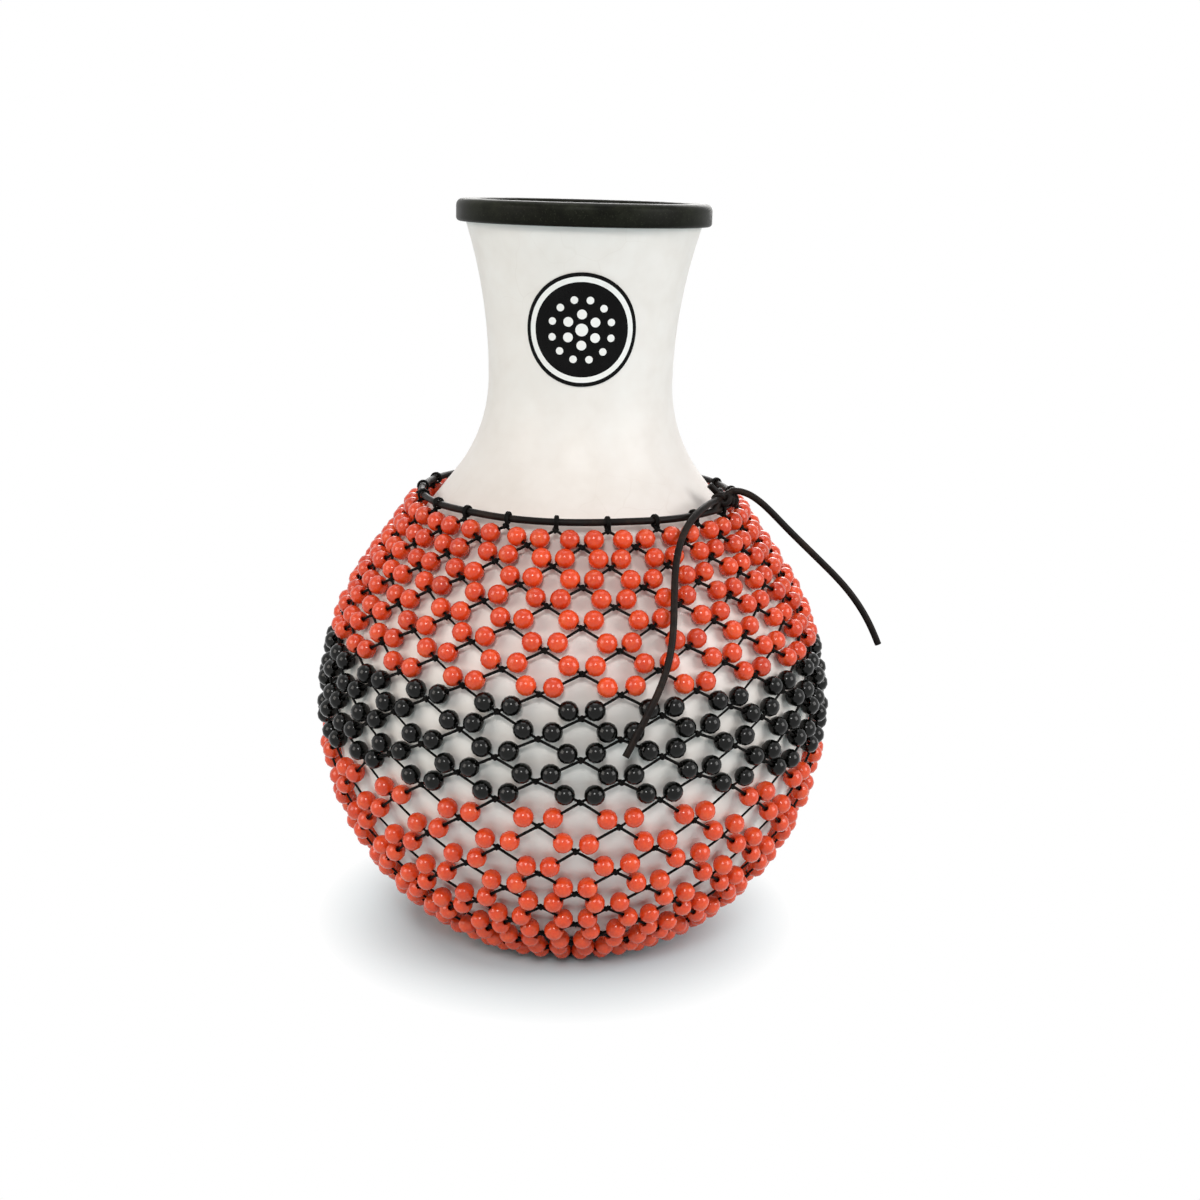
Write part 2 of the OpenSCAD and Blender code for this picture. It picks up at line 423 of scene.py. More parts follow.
@dataclass
class Graph:
    """Adds nodes to one node tree and links them.

    Args:
        tree: the material's or the group's tree.
    """

    tree: Tree

    def add(self, kind: str, inputs: Optional[dict[Union[str, int], SocketValue]] = None,
            **settings: object) -> Node:
        """Adds a node.

        Args:
            kind: the node's type, without its ShaderNode prefix.
            inputs: what goes into its sockets, by name or number: a value or another node's output.
            settings: the node's own properties.

        Returns:
            The node.
        """
        node = self.tree.nodes.new("ShaderNode" + kind)
        for name, value in settings.items():
            setattr(node, name, value)
        for key, value in (inputs or {}).items():
            self.feed(node.inputs[key], value)
        return node

    def feed(self, socket: Socket, value: SocketValue) -> None:
        """Links an output to a socket, or sets the socket's value.

        Args:
            socket: the input to feed.
            value: an output or a plain value.
        """
        if isinstance(value, Socket):
            self.tree.links.new(value, socket)
        else:
            socket.default_value = value

    def calc(self, operation: str, *terms: SocketValue) -> Socket:
        """Adds a Math node and returns its value."""
        return self.add("Math", dict(enumerate(terms)), operation=operation).outputs[0]

    def times(self, first: SocketValue, second: SocketValue) -> Socket:
        """The product of two values."""
        return self.calc("MULTIPLY", first, second)

    def raised(self, base: SocketValue, mask: SocketValue, share: SocketValue) -> Socket:
        """A base with a share of a mask added to it."""
        return self.calc("MULTIPLY_ADD", mask, share, base)

    def noise(self, vector: SocketValue, scale: SocketValue, detail: float = 2.0,
              roughness: float = 0.5) -> Socket:
        """Adds a Noise Texture and returns its value."""
        return self.add("TexNoise", {"Vector": vector, "Scale": scale, "Detail": detail,
                                     "Roughness": roughness}).outputs[0]

    def between(self, value: SocketValue, low: float, high: float, to_low: float = 0.0,
                to_high: float = 1.0) -> Socket:
        """Adds a Map Range node, which clamps, and returns its value."""
        return self.add("MapRange", {"Value": value, "From Min": low, "From Max": high,
                                     "To Min": to_low, "To Max": to_high}).outputs[0]

    def mix(self, share: SocketValue, first: SocketValue, second: SocketValue) -> Socket:
        """Adds a colour Mix node and returns its colour."""
        return self.add("Mix", {0: share, 6: first, 7: second}, data_type="RGBA").outputs[2]


class SharedEffect(Enum):
    """The shader node groups that more than one finish uses."""

    TONE_DRIFT = "tone drift"
    FINE_WEAR = "fine wear"
    CORD_LAY = "cord lay"
    MOULD_WAVE = "mould wave"


def new_group(effect: SharedEffect, inputs: dict[str, Union[str, float]],
              outputs: dict[str, str]) -> tuple[Graph, dict, dict]:
    """Makes an empty shader group.

    Args:
        effect: which group.
        inputs: each input's kind, or its value where it is a number.
        outputs: each output's kind.

    Returns:
        The group's graph, its inputs by name and its outputs' sockets by name.
    """
    tree = bpy.data.node_groups.new(effect.value, "ShaderNodeTree")
    for way, sockets in (("INPUT", inputs), ("OUTPUT", outputs)):
        for name, kind in sockets.items():
            number = not isinstance(kind, str)
            socket = tree.interface.new_socket(
                name=name, in_out=way, socket_type="NodeSocket" + ("Float" if number else kind))
            if number:
                socket.default_value = kind
    given = tree.nodes.new("NodeGroupInput").outputs
    wanted = tree.nodes.new("NodeGroupOutput").inputs
    return Graph(tree), {s.name: s for s in given}, {s.name: s for s in wanted}


def build_tone_drift() -> Tree:
    """Builds the group that lets a colour drift in broad clouds and finer freckles.

    Returns:
        The group.
    """
    graph, given, wanted = new_group(
        SharedEffect.TONE_DRIFT,
        {"Vector": "Vector", "Colour": "Color", "Dark": "Color", "Pale": "Color",
         "Scale": 20.0, "Amount": 0.5},
        {"Colour": "Color", "Cloud": "Float"})
    broad = graph.noise(given["Vector"], given["Scale"], detail=3.0, roughness=0.55)
    fine = graph.noise(given["Vector"], graph.times(given["Scale"], 6.3), roughness=0.6)
    cloud = graph.raised(graph.times(broad, 0.65), fine, 0.35)
    darker = graph.times(graph.between(cloud, 0.5, 0.3), given["Amount"])
    paler = graph.times(graph.between(cloud, 0.5, 0.7), given["Amount"])
    shaded = graph.mix(darker, given["Colour"], given["Dark"])
    graph.feed(wanted["Colour"], graph.mix(paler, shaded, given["Pale"]))
    graph.feed(wanted["Cloud"], cloud)
    return graph.tree


def build_fine_wear() -> Tree:
    """Builds the group that draws hairline scuffs and settled dust.

    Returns:
        The group.
    """
    graph, given, wanted = new_group(
        SharedEffect.FINE_WEAR, {"Vector": "Vector", "Scale": 60.0, "Density": 0.3},
        {"Scuff": "Float", "Dust": "Float", "Height": "Float"})
    where, scale, density = given["Vector"], given["Scale"], given["Density"]
    swirl = graph.add("TexNoise", {"Vector": where, "Scale": scale}).outputs[1]
    bent = graph.add("VectorMath", {0: swirl, 1: (0.012, 0.012, 0.012), 2: where},
                     operation="MULTIPLY_ADD").outputs[0]
    lines = graph.add("TexVoronoi", {"Vector": bent, "Scale": scale},
                      feature="DISTANCE_TO_EDGE").outputs[0]
    hair = graph.between(lines, 0.0, 0.012, 1.0, 0.0)
    patchy = graph.between(graph.noise(where, graph.times(scale, 0.35)), 0.52, 0.7)
    scuff = graph.times(graph.times(hair, patchy), density)
    specks = graph.noise(where, graph.times(scale, 14.0), detail=1.0)
    dust = graph.times(graph.between(specks, 0.62, 0.72), density)
    graph.feed(wanted["Scuff"], scuff)
    graph.feed(wanted["Dust"], dust)
    graph.feed(wanted["Height"], graph.calc("SUBTRACT", graph.times(dust, 0.3), scuff))
    return graph.tree


def build_cord_lay() -> Tree:
    """Builds the group that twists strands round a cord, along the cord's UV map, and marks the grooves
    between the strands for painted shade.

    Returns:
        The group.
    """
    graph, given, wanted = new_group(
        SharedEffect.CORD_LAY, {"UV": "Vector", "Turns": 10.0, "Strands": 3.0},
        {"Height": "Float", "Groove Shade": "Float"})
    parts = graph.add("SeparateXYZ", {"Vector": given["UV"]})
    along = graph.times(parts.outputs[0], given["Turns"])
    around = graph.times(parts.outputs[1], given["Strands"])
    phase = graph.times(graph.calc("ADD", along, around), math.pi)
    ridge = graph.calc("ABSOLUTE", graph.calc("SINE", phase))
    graph.feed(wanted["Height"], ridge)
    # The groove mask, where the twine is darkened as painted shade.
    graph.feed(wanted["Groove Shade"], graph.between(ridge, 0.0, 0.45, 1.0, 0.0))
    return graph.tree


def build_mould_wave() -> Tree:
    """Builds the group for the slow waves of a moulded surface and the fine grain on them.

    Returns:
        The group.
    """
    graph, given, wanted = new_group(
        SharedEffect.MOULD_WAVE,
        {"Vector": "Vector", "Wave": 12.0, "Grain": 900.0, "Grain Share": 0.1},
        {"Height": "Float"})
    slow = graph.noise(given["Vector"], given["Wave"], detail=1.0, roughness=0.4)
    grain = graph.noise(given["Vector"], given["Grain"], roughness=0.6)
    graph.feed(wanted["Height"], graph.raised(slow, grain, given["Grain Share"]))
    return graph.tree


GROUP_BUILDERS = {
    SharedEffect.TONE_DRIFT: build_tone_drift,
    SharedEffect.FINE_WEAR: build_fine_wear,
    SharedEffect.CORD_LAY: build_cord_lay,
    SharedEffect.MOULD_WAVE: build_mould_wave,
}


def start_material(name: str) -> tuple[Material, Graph, Node]:
    """Makes a material with one Principled shader.

    Args:
        name: the material's name.

    Returns:
        The material, its graph and its shader.
    """
    material = bpy.data.materials.new(name)
    material.use_nodes = True
    return material, Graph(material.node_tree), material.node_tree.nodes["Principled BSDF"]


# Finishes

@dataclass(frozen=True)
class Finish:
    """What every finish has: colours that drift, wear, a moulded relief and a shine.

    Args:
        name: the material's name.
        colour: the colour that drifts.
        dark: the darker end of the drift.
        pale: its paler end.
        clouds: scale and share of the drift.
        gloss: the roughness.
        specular: the shader's specular level.
        cloud_gloss: how far the clouds raise the roughness.
        dust_gloss: how far dust raises it.
        coat: weight and roughness of the clear coat.
        wear: scale and share of scuffs and dust.
        waves: scale of the moulded waves, scale of their grain and its share.
        relief: depth of the waves or of a cord's lay.
        scratch: depth and strength of the wear's relief.
    """

    name: str
    colour: Colour
    dark: Colour
    pale: Colour
    clouds: Pair
    gloss: float
    specular: float
    cloud_gloss: float = 0.0
    dust_gloss: float = 0.0
    coat: Pair = (0.0, 0.03)
    wear: Pair = (110.0, 0.45)
    waves: Place = (70.0, 2600.0, 0.1)
    relief: float = 0.1 * MM
    scratch: Pair = (0.02 * MM, 0.6)


class Paint(Graph):
    """A material in the making, and the shared effects as its finish asks for them.

    Args:
        finish: the finish.
    """

    def __init__(self, finish: Finish) -> None:
        """Starts the material and reads where each point lies on the piece."""
        self.finish = finish
        self.material, graph, self.shader = start_material(finish.name)
        super().__init__(graph.tree)
        self.where = self.add("TexCoord").outputs["Object"]
        self.normal: Optional[Socket] = None
        self.cloud: Optional[Socket] = None
        self.dust: Optional[Socket] = None
        self.scratches: Optional[Socket] = None

    def mark(self, name: str) -> Socket:
        """Reads a number that is written on the piece's vertices."""
        return self.add("Attribute", attribute_name=name).outputs["Fac"]

    def place(self, effect: SharedEffect, inputs: dict[str, SocketValue]) -> bpy.types.NodeOutputs:
        """Places a shared effect, which is built the first time, and returns its outputs."""
        tree = bpy.data.node_groups.get(effect.value) or GROUP_BUILDERS[effect]()
        return self.add("Group", inputs, node_tree=tree).outputs

    def drift(self, colour: SocketValue) -> Socket:
        """Lets a colour drift, and keeps the clouds for the shine.

        Args:
            colour: where the drift starts.

        Returns:
            The drifting colour.
        """
        scale, amount = self.finish.clouds
        made = self.place(SharedEffect.TONE_DRIFT, {
            "Vector": self.where, "Colour": colour, "Dark": self.finish.dark,
            "Pale": self.finish.pale, "Scale": scale, "Amount": amount})
        self.cloud = made["Cloud"]
        return made["Colour"]

    def wear(self) -> Socket:
        """Draws the scuffs, and keeps the dust and the wear's relief for later.

        Returns:
            The mask of the scuffs.
        """
        scale, density = self.finish.wear
        made = self.place(SharedEffect.FINE_WEAR, {
            "Vector": self.where, "Scale": scale, "Density": density})
        self.dust, self.scratches = made["Dust"], made["Height"]
        return made["Scuff"]

    def wave(self) -> None:
        """Lays the moulded waves on the surface."""
        scale, grain, share = self.finish.waves
        made = self.place(SharedEffect.MOULD_WAVE, {
            "Vector": self.where, "Wave": scale, "Grain": grain, "Grain Share": share})
        self.emboss(made["Height"], self.finish.relief)

    def emboss(self, height: SocketValue, depth: float, strength: float = 1.0) -> None:
        """Lays a relief on the surface, over the relief that is there already.

        Args:
            height: the relief.
            depth: its depth in metres.
            strength: how much of it shows.
        """
        inputs: dict[str, SocketValue] = {"Height": height, "Distance": depth, "Strength": strength}
        if self.normal is not None:
            inputs["Normal"] = self.normal
        self.normal = self.add("Bump", inputs).outputs[0]
        self.feed(self.shader.inputs["Normal"], self.normal)

    def shine(self) -> SocketValue:
        """The roughness, raised by the dust and by the clouds.

        Returns:
            The roughness, a socket or a number.
        """
        rough: SocketValue = self.finish.gloss
        for mask, share in ((self.dust, self.finish.dust_gloss), (self.cloud, self.finish.cloud_gloss)):
            if share:
                rough = self.raised(rough, mask, share)
        return rough

    def done(self, colour: SocketValue, roughness: SocketValue) -> Material:
        """Feeds the colour and the roughness, and sets the plain sockets.

        Args:
            colour: what goes into Base Color.
            roughness: what goes into Roughness.

        Returns:
            The material.
        """
        sockets = {"Base Color": colour, "Roughness": roughness,
                   "Specular IOR Level": self.finish.specular,
                   "Coat Weight": self.finish.coat[0], "Coat Roughness": self.finish.coat[1]}
        for name, value in sockets.items():
            self.feed(self.shader.inputs[name], value)
        return self.material


@dataclass(frozen=True)
class GelcoatFinish(Finish):
    """Polished gelcoat outside, raw glass mat inside."""

    inside: Colour = ink("B9B09C")
    inside_gloss: float = 0.5
    strand_scale: float = 260.0
    strand_depth: float = 0.6 * MM

    def build(self) -> Material:
        """Builds the shell's material; the attribute inside is 1 on the inner wall.

        Returns:
            The material.
        """
        paint = Paint(self)
        inner = paint.mark("inside")
        outer = paint.mix(paint.wear(), paint.drift(self.colour), self.dark)
        fibres = {"Vector": paint.where, "Scale": self.strand_scale}
        strands = paint.add("TexVoronoi", fibres).outputs[0]
        mat = paint.mix(paint.between(strands, 0.2, 0.9), self.inside, self.dark)
        paint.wave()
        paint.emboss(paint.times(strands, inner), self.strand_depth)
        paint.emboss(paint.scratches, *self.scratch)
        return paint.done(paint.mix(inner, outer, mat),
                          paint.raised(paint.shine(), inner, self.inside_gloss))


@dataclass(frozen=True)
class RubberFinish(Finish):
    """Satin rubber with a bloom, greyer on its edges."""

    dusty: Colour = ink("34362B")
    rub_share: float = 0.45

    def build(self) -> Material:
        """Builds the rim's material; the attribute edge is 1 where hands rub it.

        Returns:
            The material.
        """
        paint = Paint(self)
        paint.wear()
        toned = paint.drift(self.colour)
        rub_wear_and_bore_shade = paint.times(paint.mark("edge"), paint.between(paint.cloud, 0.4, 0.62))
        greyed = paint.mix(paint.times(rub_wear_and_bore_shade, self.rub_share), toned, self.dusty)
        paint.wave()
        paint.emboss(paint.scratches, *self.scratch)
        return paint.done(paint.mix(paint.dust, greyed, self.dusty), paint.shine())


@dataclass(frozen=True)
class InkFinish(Finish):
    """One ink of the badge's printed film, under a clear laminate."""

    def build(self) -> Material:
        """Builds the ink's material.

        Returns:
            The material.
        """
        paint = Paint(self)
        colour = paint.mix(paint.wear(), paint.drift(self.colour), self.pale)
        paint.emboss(paint.scratches, *self.scratch)
        return paint.done(colour, paint.shine())


@dataclass(frozen=True)
class BeadFinish(Finish):
    """Glossy moulded plastic for one colour of bead."""

    # The lighter colour that each bead leans towards, more in the lower rows.
    high: Colour = ink("FFFFFF")
    # Share of the dark colour painted as shade on the lip and in the bore.
    bore_shade_share: float = 0.5

    def build(self) -> Material:
        """Builds the bead's material; one attribute varies its tone bead by bead, another makes the
        lower rows a lighter colour, and the lip attribute paints shade on the lip and in the bore.

        Returns:
            The material.
        """
        paint = Paint(self)
        batch = paint.mix(paint.mark("tone"), self.dark, self.colour)
        # Lighter colour row by row towards the bottom, by the share written on each bead.
        row_tinted = paint.drift(paint.mix(paint.mark("fade"), batch, self.high))
        # Painted shade: the lip and the bore are darkened towards the dark colour.
        rub_wear_and_bore_shade = paint.mix(paint.times(paint.mark("lip"), self.bore_shade_share), row_tinted, self.dark)
        colour = paint.mix(paint.wear(), rub_wear_and_bore_shade, self.pale)
        paint.wave()
        return paint.done(colour, paint.shine())


@dataclass(frozen=True)
class TwineFinish(Finish):
    """Waxed twine, twisted from fine strands, with painted shade in the grooves between them."""

    turns: float = 5.0
    strands: float = 3.0
    # Near-black colour painted in the grooves as shade.
    groove_shade: Colour = ink("050505")
    fibre_scale: float = 5200.0
    fibre_share: float = 0.3

    def build(self) -> Material:
        """Builds the twine's material along the cord's UV map.

        Returns:
            The material.
        """
        paint = Paint(self)
        lay = paint.place(SharedEffect.CORD_LAY, {
            "UV": paint.add("UVMap", uv_map="UVMap").outputs[0],
            "Turns": self.turns, "Strands": self.strands})
        # Painted shade: the grooves between the strands are darkened.
        colour = paint.mix(lay["Groove Shade"], paint.drift(self.colour), self.groove_shade)
        fibre = paint.noise(paint.where, self.fibre_scale, detail=1.0)
        paint.emboss(paint.raised(lay["Height"], fibre, self.fibre_share), self.relief)
        return paint.done(colour, paint.shine())


@dataclass(frozen=True)
class LaceFinish(Finish):
    """Smooth round leather lace with a dull wax shine."""

    def build(self) -> Material:
        """Builds the drawstring's material.

        Returns:
            The material.
        """
        paint = Paint(self)
        colour = paint.mix(paint.wear(), paint.drift(self.colour), self.pale)
        paint.wave()
        return paint.done(colour, paint.shine())


GELCOAT = GelcoatFinish(
    "gelcoat", ink("E6E0DA"), ink("D6CDC4"), ink("EFECE8"), clouds=(14.0, 0.55), gloss=0.36,
    specular=0.28, cloud_gloss=0.12, dust_gloss=0.3, coat=(0.04, 0.26), wear=(46.0, 0.35),
    waves=(16.0, 1400.0, 0.012), relief=1.2 * MM)
RUBBER = RubberFinish(
    "rim rubber", ink("10110B"), ink("0C0C09"), ink("1C1D16"), clouds=(60.0, 0.7), gloss=0.28,
    specular=0.06, cloud_gloss=0.22, wear=(130.0, 0.5), relief=0.25 * MM, scratch=(0.03 * MM, 0.7))
BLACK_INK = InkFinish(
    "badge black", ink("060606"), ink("060606"), ink("141414"), clouds=(90.0, 0.5), gloss=0.2,
    specular=0.08, dust_gloss=0.3, coat=(0.02, 0.16))
WHITE_INK = replace(BLACK_INK, name="badge white", colour=ink("ECEAE6"), dark=ink("ECEAE6"),
                    pale=ink("DAD7D0"))
ORANGE_BEAD = BeadFinish(
    "orange bead", ink("E24618"), ink("AC240C"), ink("F07038"), high=ink("E54B22"),
    clouds=(150.0, 0.4), gloss=0.13, specular=0.4, cloud_gloss=0.12, dust_gloss=0.25,
    coat=(0.1, 0.1), wear=(320.0, 0.4), waves=(260.0, 3800.0, 0.06), relief=0.05 * MM)
BLACK_BEAD = replace(ORANGE_BEAD, name="black bead", colour=ink("060605"), dark=ink("030302"),
                     pale=ink("10110E"), high=ink("080907"), gloss=0.06, specular=0.22,
                     coat=(0.04, 0.1))
NET_TWINE = TwineFinish(
    "net twine", ink("100F0E"), ink("080807"), ink("262421"), clouds=(240.0, 0.8), gloss=0.42,
    specular=0.06, cloud_gloss=0.3, relief=0.16 * MM)
BASE_TWINE = replace(NET_TWINE, name="base twine", turns=150.0)
LACE = LaceFinish(
    "drawstring lace", ink("110C0A"), ink("070706"), ink("30231C"), clouds=(95.0, 0.75), gloss=0.3,
    specular=0.1, cloud_gloss=0.25, wear=(420.0, 0.6), waves=(320.0, 2400.0, 0.35),
    relief=0.18 * MM)


# The gourd, its rim and its badge

@dataclass
class Gourd:
    """The moulded shell: a round bulb, a straight shoulder and a waisted neck."""

    overall_h: float = 328 * MM
    bulb_r: float = 108 * MM
    bulb_z: float = 105 * MM
    wall: float = 3 * MM
    waist_r: float = 40.3 * MM
    waist_z: float = 252 * MM
    flare_r: float = 67 * MM
    mouth_r: float = 53 * MM
    rim_crown: float = 2.5 * MM
    foot_round: float = 2.5 * MM
    foot_flat: float = 0.6
    foot_curve: tuple[Pair, ...] = ((-1.0, 0.0), (-0.3, 0.05), (0.4, 0.25))
    arc_step: float = math.radians(2.2)
    steps: int = 144

    def __post_init__(self) -> None:
        """Works out the arcs' centres and the angle at which the shoulder begins."""
        self.edge_z = self.overall_h - self.rim_crown
        self.flare_c = (self.waist_r + self.flare_r, self.waist_z)
        rise, spread = self.edge_z - self.waist_z, self.mouth_r - self.waist_r
        self.throat_r = (rise ** 2 + spread ** 2) / (2 * spread)
        self.throat_c = (self.waist_r + self.throat_r, self.waist_z)
        across, up = self.flare_c[0], self.flare_c[1] - self.bulb_z
        reach = math.hypot(across, up)
        self.shoulder_a = math.atan2(up, across) - math.acos((self.bulb_r + self.flare_r) / reach)

    def bend(self, centre: Pair, radius: float, start: float, stop: float) -> list[Pair]:
        """An arc of the profile in steps of about arc_step."""
        return arc(centre, radius, start, stop, max(1, math.ceil(abs(stop - start) / self.arc_step)))

    def side(self, out: float, floor_z: float, top_z: float) -> list[Pair]:
        """One side of the wall from a floor level up to a top level.

        Args:
            out: how far the line lies outside the shell's outer surface.
            floor_z: the level where it starts.
            top_z: the level where it ends.

        Returns:
            (radius, height) points.
        """
        bulb = self.bulb_r + out
        throat = self.throat_r - out
        start = -math.asin((self.bulb_z - floor_z) / bulb)
        top = math.pi - math.asin((top_z - self.waist_z) / throat)
        return (self.bend((0, self.bulb_z), bulb, start, self.shoulder_a)
                + self.bend(self.flare_c, self.flare_r - out, math.pi + self.shoulder_a, math.pi)
                + self.bend(self.throat_c, throat, math.pi, top)[1:])

    def neck_radius(self, z: float) -> float:
        """Outer radius of the neck above its waist."""
        return self.throat_c[0] - math.sqrt(self.throat_r ** 2 - (z - self.waist_z) ** 2)

    def build(self) -> None:
        """Turns the shell, marks its inner wall and dresses it."""
        outer = self.side(0.0, 0.0, self.edge_z)
        foot = outer[0][0]
        curve = [(foot + r * self.foot_round, z * self.foot_round) for r, z in self.foot_curve]
        inner = self.side(-self.wall, self.wall, self.edge_z)
        profile = [(0.0, 0.0), (self.foot_flat * foot, 0.0), *curve, *outer[1:], *inner[::-1],
                   (0.0, self.wall)]
        shell = lathe("gourd_shell", profile, self.steps)
        tag(shell, "inside", [self.is_inside(v.co) for v in shell.data.vertices])
        seat(shell, Body.GOURD, Slot.SHELL, "shell", GELCOAT.build())

    def is_inside(self, point: Vector) -> float:
        """Tells the inner wall from the outer one.

        Args:
            point: a vertex of the shell.

        Returns:
            1 on the inner wall and 0 on the outer one.
        """
        r, z = from_axis(point), point.z
        if z > self.waist_z:
            line = self.neck_radius(z)
        elif math.hypot(r, z - self.bulb_z) < self.bulb_r + self.wall:
            return float(math.hypot(r, z - self.bulb_z) < self.bulb_r - self.wall / 2 and z > 0)
        else:
            depth = max(0.0, self.flare_r ** 2 - (z - self.waist_z) ** 2)
            line = self.flare_c[0] - math.sqrt(depth)
        return float(r < line - self.wall / 2)


@dataclass
class RimTrim:
    """The black rubber channel that is pushed over the gourd's edge."""

    outer_r: float = 54.8 * MM
    bore_r: float = 45.5 * MM
    height: float = 9.5 * MM
    round_top: float = 3 * MM
    round_soft: float = 1.6 * MM
    lip: float = 0.35 * MM
    fit_gap: float = 0.05 * MM
    rub_depth: float = 1.2 * MM
    rub_reach: float = 3.5 * MM
    corner_steps: int = 6
    steps: int = 128

    def build(self, gourd: Gourd) -> None:
        """Turns the channel's closed section over the gourd's edge and dresses it.

        Args:
            gourd: the shell that it grips.
        """
        top, low = gourd.overall_h, gourd.overall_h - self.height
        soft, crest, gap = self.round_soft, self.round_top, self.fit_gap
        skirt, mouth = gourd.neck_radius(low), gourd.neck_radius(gourd.edge_z)
        inner, edge = skirt - gourd.wall - gap, gourd.edge_z + gap
        section = [(skirt + gap, low + self.lip),
                   *self.corner(self.outer_r - soft, low + soft, soft, -90),
                   *self.corner(self.outer_r - crest, top - crest, crest, 0),
                   *self.corner(self.bore_r + soft, top - soft, soft, 90),
                   (self.bore_r, low + self.lip), (self.bore_r + self.lip, low), (inner, low),
                   (mouth - gourd.wall - gap, edge), (mouth + gap, edge), (skirt + gap, low + self.lip)]
        rim = lathe("rim_rubber", section, self.steps)
        tag(rim, "edge", [self.rub_wear_and_bore_shade(v.co, top) for v in rim.data.vertices])
        seat(rim, Body.GOURD, Slot.RIM, "rim_trim", RUBBER.build())

    def corner(self, r: float, z: float, size: float, start: float) -> list[Pair]:
        """A quarter turn of the section, from an angle in degrees."""
        return arc((r, z), size, math.radians(start), math.radians(start + 90), self.corner_steps)

    def rub_wear_and_bore_shade(self, point: Vector, top: float) -> float:
        """How much hands rub the rubber at a point, most on its outer top edge.

        Args:
            point: a vertex of the rim.
            top: the rim's highest level.

        Returns:
            A share from 0 to 1.
        """
        far = math.hypot(from_axis(point) - (self.outer_r - self.rub_depth),
                         point.z - (top - self.rub_depth))
        return max(0.0, 1.0 - far / self.rub_reach)


@dataclass
class NeckBadge:
    """A round printed film on the front of the neck, with a plain rosette of dots."""

    centre_z: float = 277 * MM
    radius: float = 23.5 * MM
    film: float = 0.35 * MM
    lift: float = 0.08 * MM
    ink_lift: float = 0.06 * MM
    crease: float = math.radians(40)
    sides: int = 96
    dot_sides: int = 28
    dot_shoulder: float = 0.3
    ring_shares: tuple[float, ...] = (0.955, 0.93, 0.835, 0.81, 0.7, 0.56, 0.42, 0.28, 0.14)
    pale_ring: Pair = (0.835, 0.93)
    dot_rings: tuple[tuple[int, float, float], ...] = ((1, 0.0, 2.6), (6, 6.4, 2.0), (12, 12.6, 1.55))

    def build(self, gourd: Gourd) -> None:
        """Cuts the film, prints its rings and dots and lays it on the neck.

        Args:
            gourd: the shell that it lies on.
        """
        inks = [BLACK_INK.build(), WHITE_INK.build()]
        parts = [self.film_disc()]
        for count, out, size in self.dot_rings:
            turns = [math.tau * (k + 0.5) / count for k in range(count)]
            parts += [self.dot(compass(turn) * (out * MM), size * MM) for turn in turns]
        for part in parts:
            dress(part, *inks)
            for polygon in part.data.polygons:
                share = from_axis(polygon.center) / self.radius
                on_ring = self.pale_ring[0] < share < self.pale_ring[1]
                polygon.material_index = int(on_ring or part != parts[0])
        badge = join("badge_film", parts)
        self.wrap(badge, gourd)
        pick(badge)
        with editing():
            close_up()
        bpy.ops.object.shade_smooth_by_angle(angle=self.crease)
        seat(badge, Body.GOURD, Slot.BADGE, "neck_badge")

    def film_disc(self) -> Piece:
        """Makes a flat disc of concentric rings, facing up, with a little thickness.

        Returns:
            The disc.
        """
        film = disc(self.sides, self.radius)
        with editing():
            for before, share in zip((1.0, *self.ring_shares), self.ring_shares):
                bpy.ops.mesh.inset(thickness=(before - share) * self.radius, use_boundary=True)
            bpy.ops.mesh.poke()
        solid = film.modifiers.new("thickness", "SOLIDIFY")
        solid.thickness = self.film
        solid.offset = -1.0
        bpy.ops.object.modifier_apply(modifier=solid.name)
        return film

    def dot(self, place: Vector, size: float) -> Piece:
        """Makes one flat dot of ink with a rounded edge, facing up.

        Args:
            place: its centre.
            size: its radius.

        Returns:
            The dot.
        """
        made = disc(self.dot_sides, size, tuple(place))
        with editing():
            bpy.ops.mesh.extrude_region_move(TRANSFORM_OT_translate={"value": (0, 0, self.ink_lift)})
            bpy.ops.mesh.inset(thickness=self.dot_shoulder * size)
            bpy.ops.mesh.poke()
            close_up()
        return made

    def wrap(self, flat: Piece, gourd: Gourd) -> None:
        """Bends a flat print round the front of the neck: x runs round it and y runs up it.

        Args:
            flat: the print.
            gourd: the shell under it.
        """
        for vertex in flat.data.vertices:
            x, y, out = vertex.co
            z = self.centre_z + y
            r = gourd.neck_radius(z)
            far = r + self.lift + self.film + out
            vertex.co = (far * math.sin(x / r), -far * math.cos(x / r), z)


# The net, read from the frame

def island_labels(triangles: np.ndarray, count: int) -> np.ndarray:
    """Labels the vertices of each connected part of a mesh.

    Args:
        triangles: vertex numbers, three to a row.
        count: how many vertices there are.

    Returns:
        One label for each vertex, the same over a connected part.
    """
    labels = np.arange(count)
    while True:
        lowest = labels[triangles].min(axis=1)
        lower = labels.copy()
        for k in range(3):
            np.minimum.at(lower, triangles[:, k], lowest)
        lower = lower[lower]
        if np.array_equal(lower, labels):
            return labels
        labels = lower


def welded(node: str) -> tuple[np.ndarray, np.ndarray]:
    """Reads a CAD node's mesh with its loose triangles joined.

    Args:
        node: the node's name.

    Returns:
        Vertex places and triangles.
    """
    data = frame["nodes"][node].data
    data.calc_loop_triangles()
    places = np.empty(len(data.vertices) * 3, dtype=np.float32)
    data.vertices.foreach_get("co", places)
    places = places.reshape(-1, 3).astype(float)
    corners = np.empty(len(data.loop_triangles) * 3, dtype=np.int32)
    data.loop_triangles.foreach_get("vertices", corners)
    _, first, same = np.unique(np.round(places / WELD).astype(np.int64), axis=0,
                               return_index=True, return_inverse=True)
    return places[first], same.reshape(-1)[corners.reshape(-1, 3)]


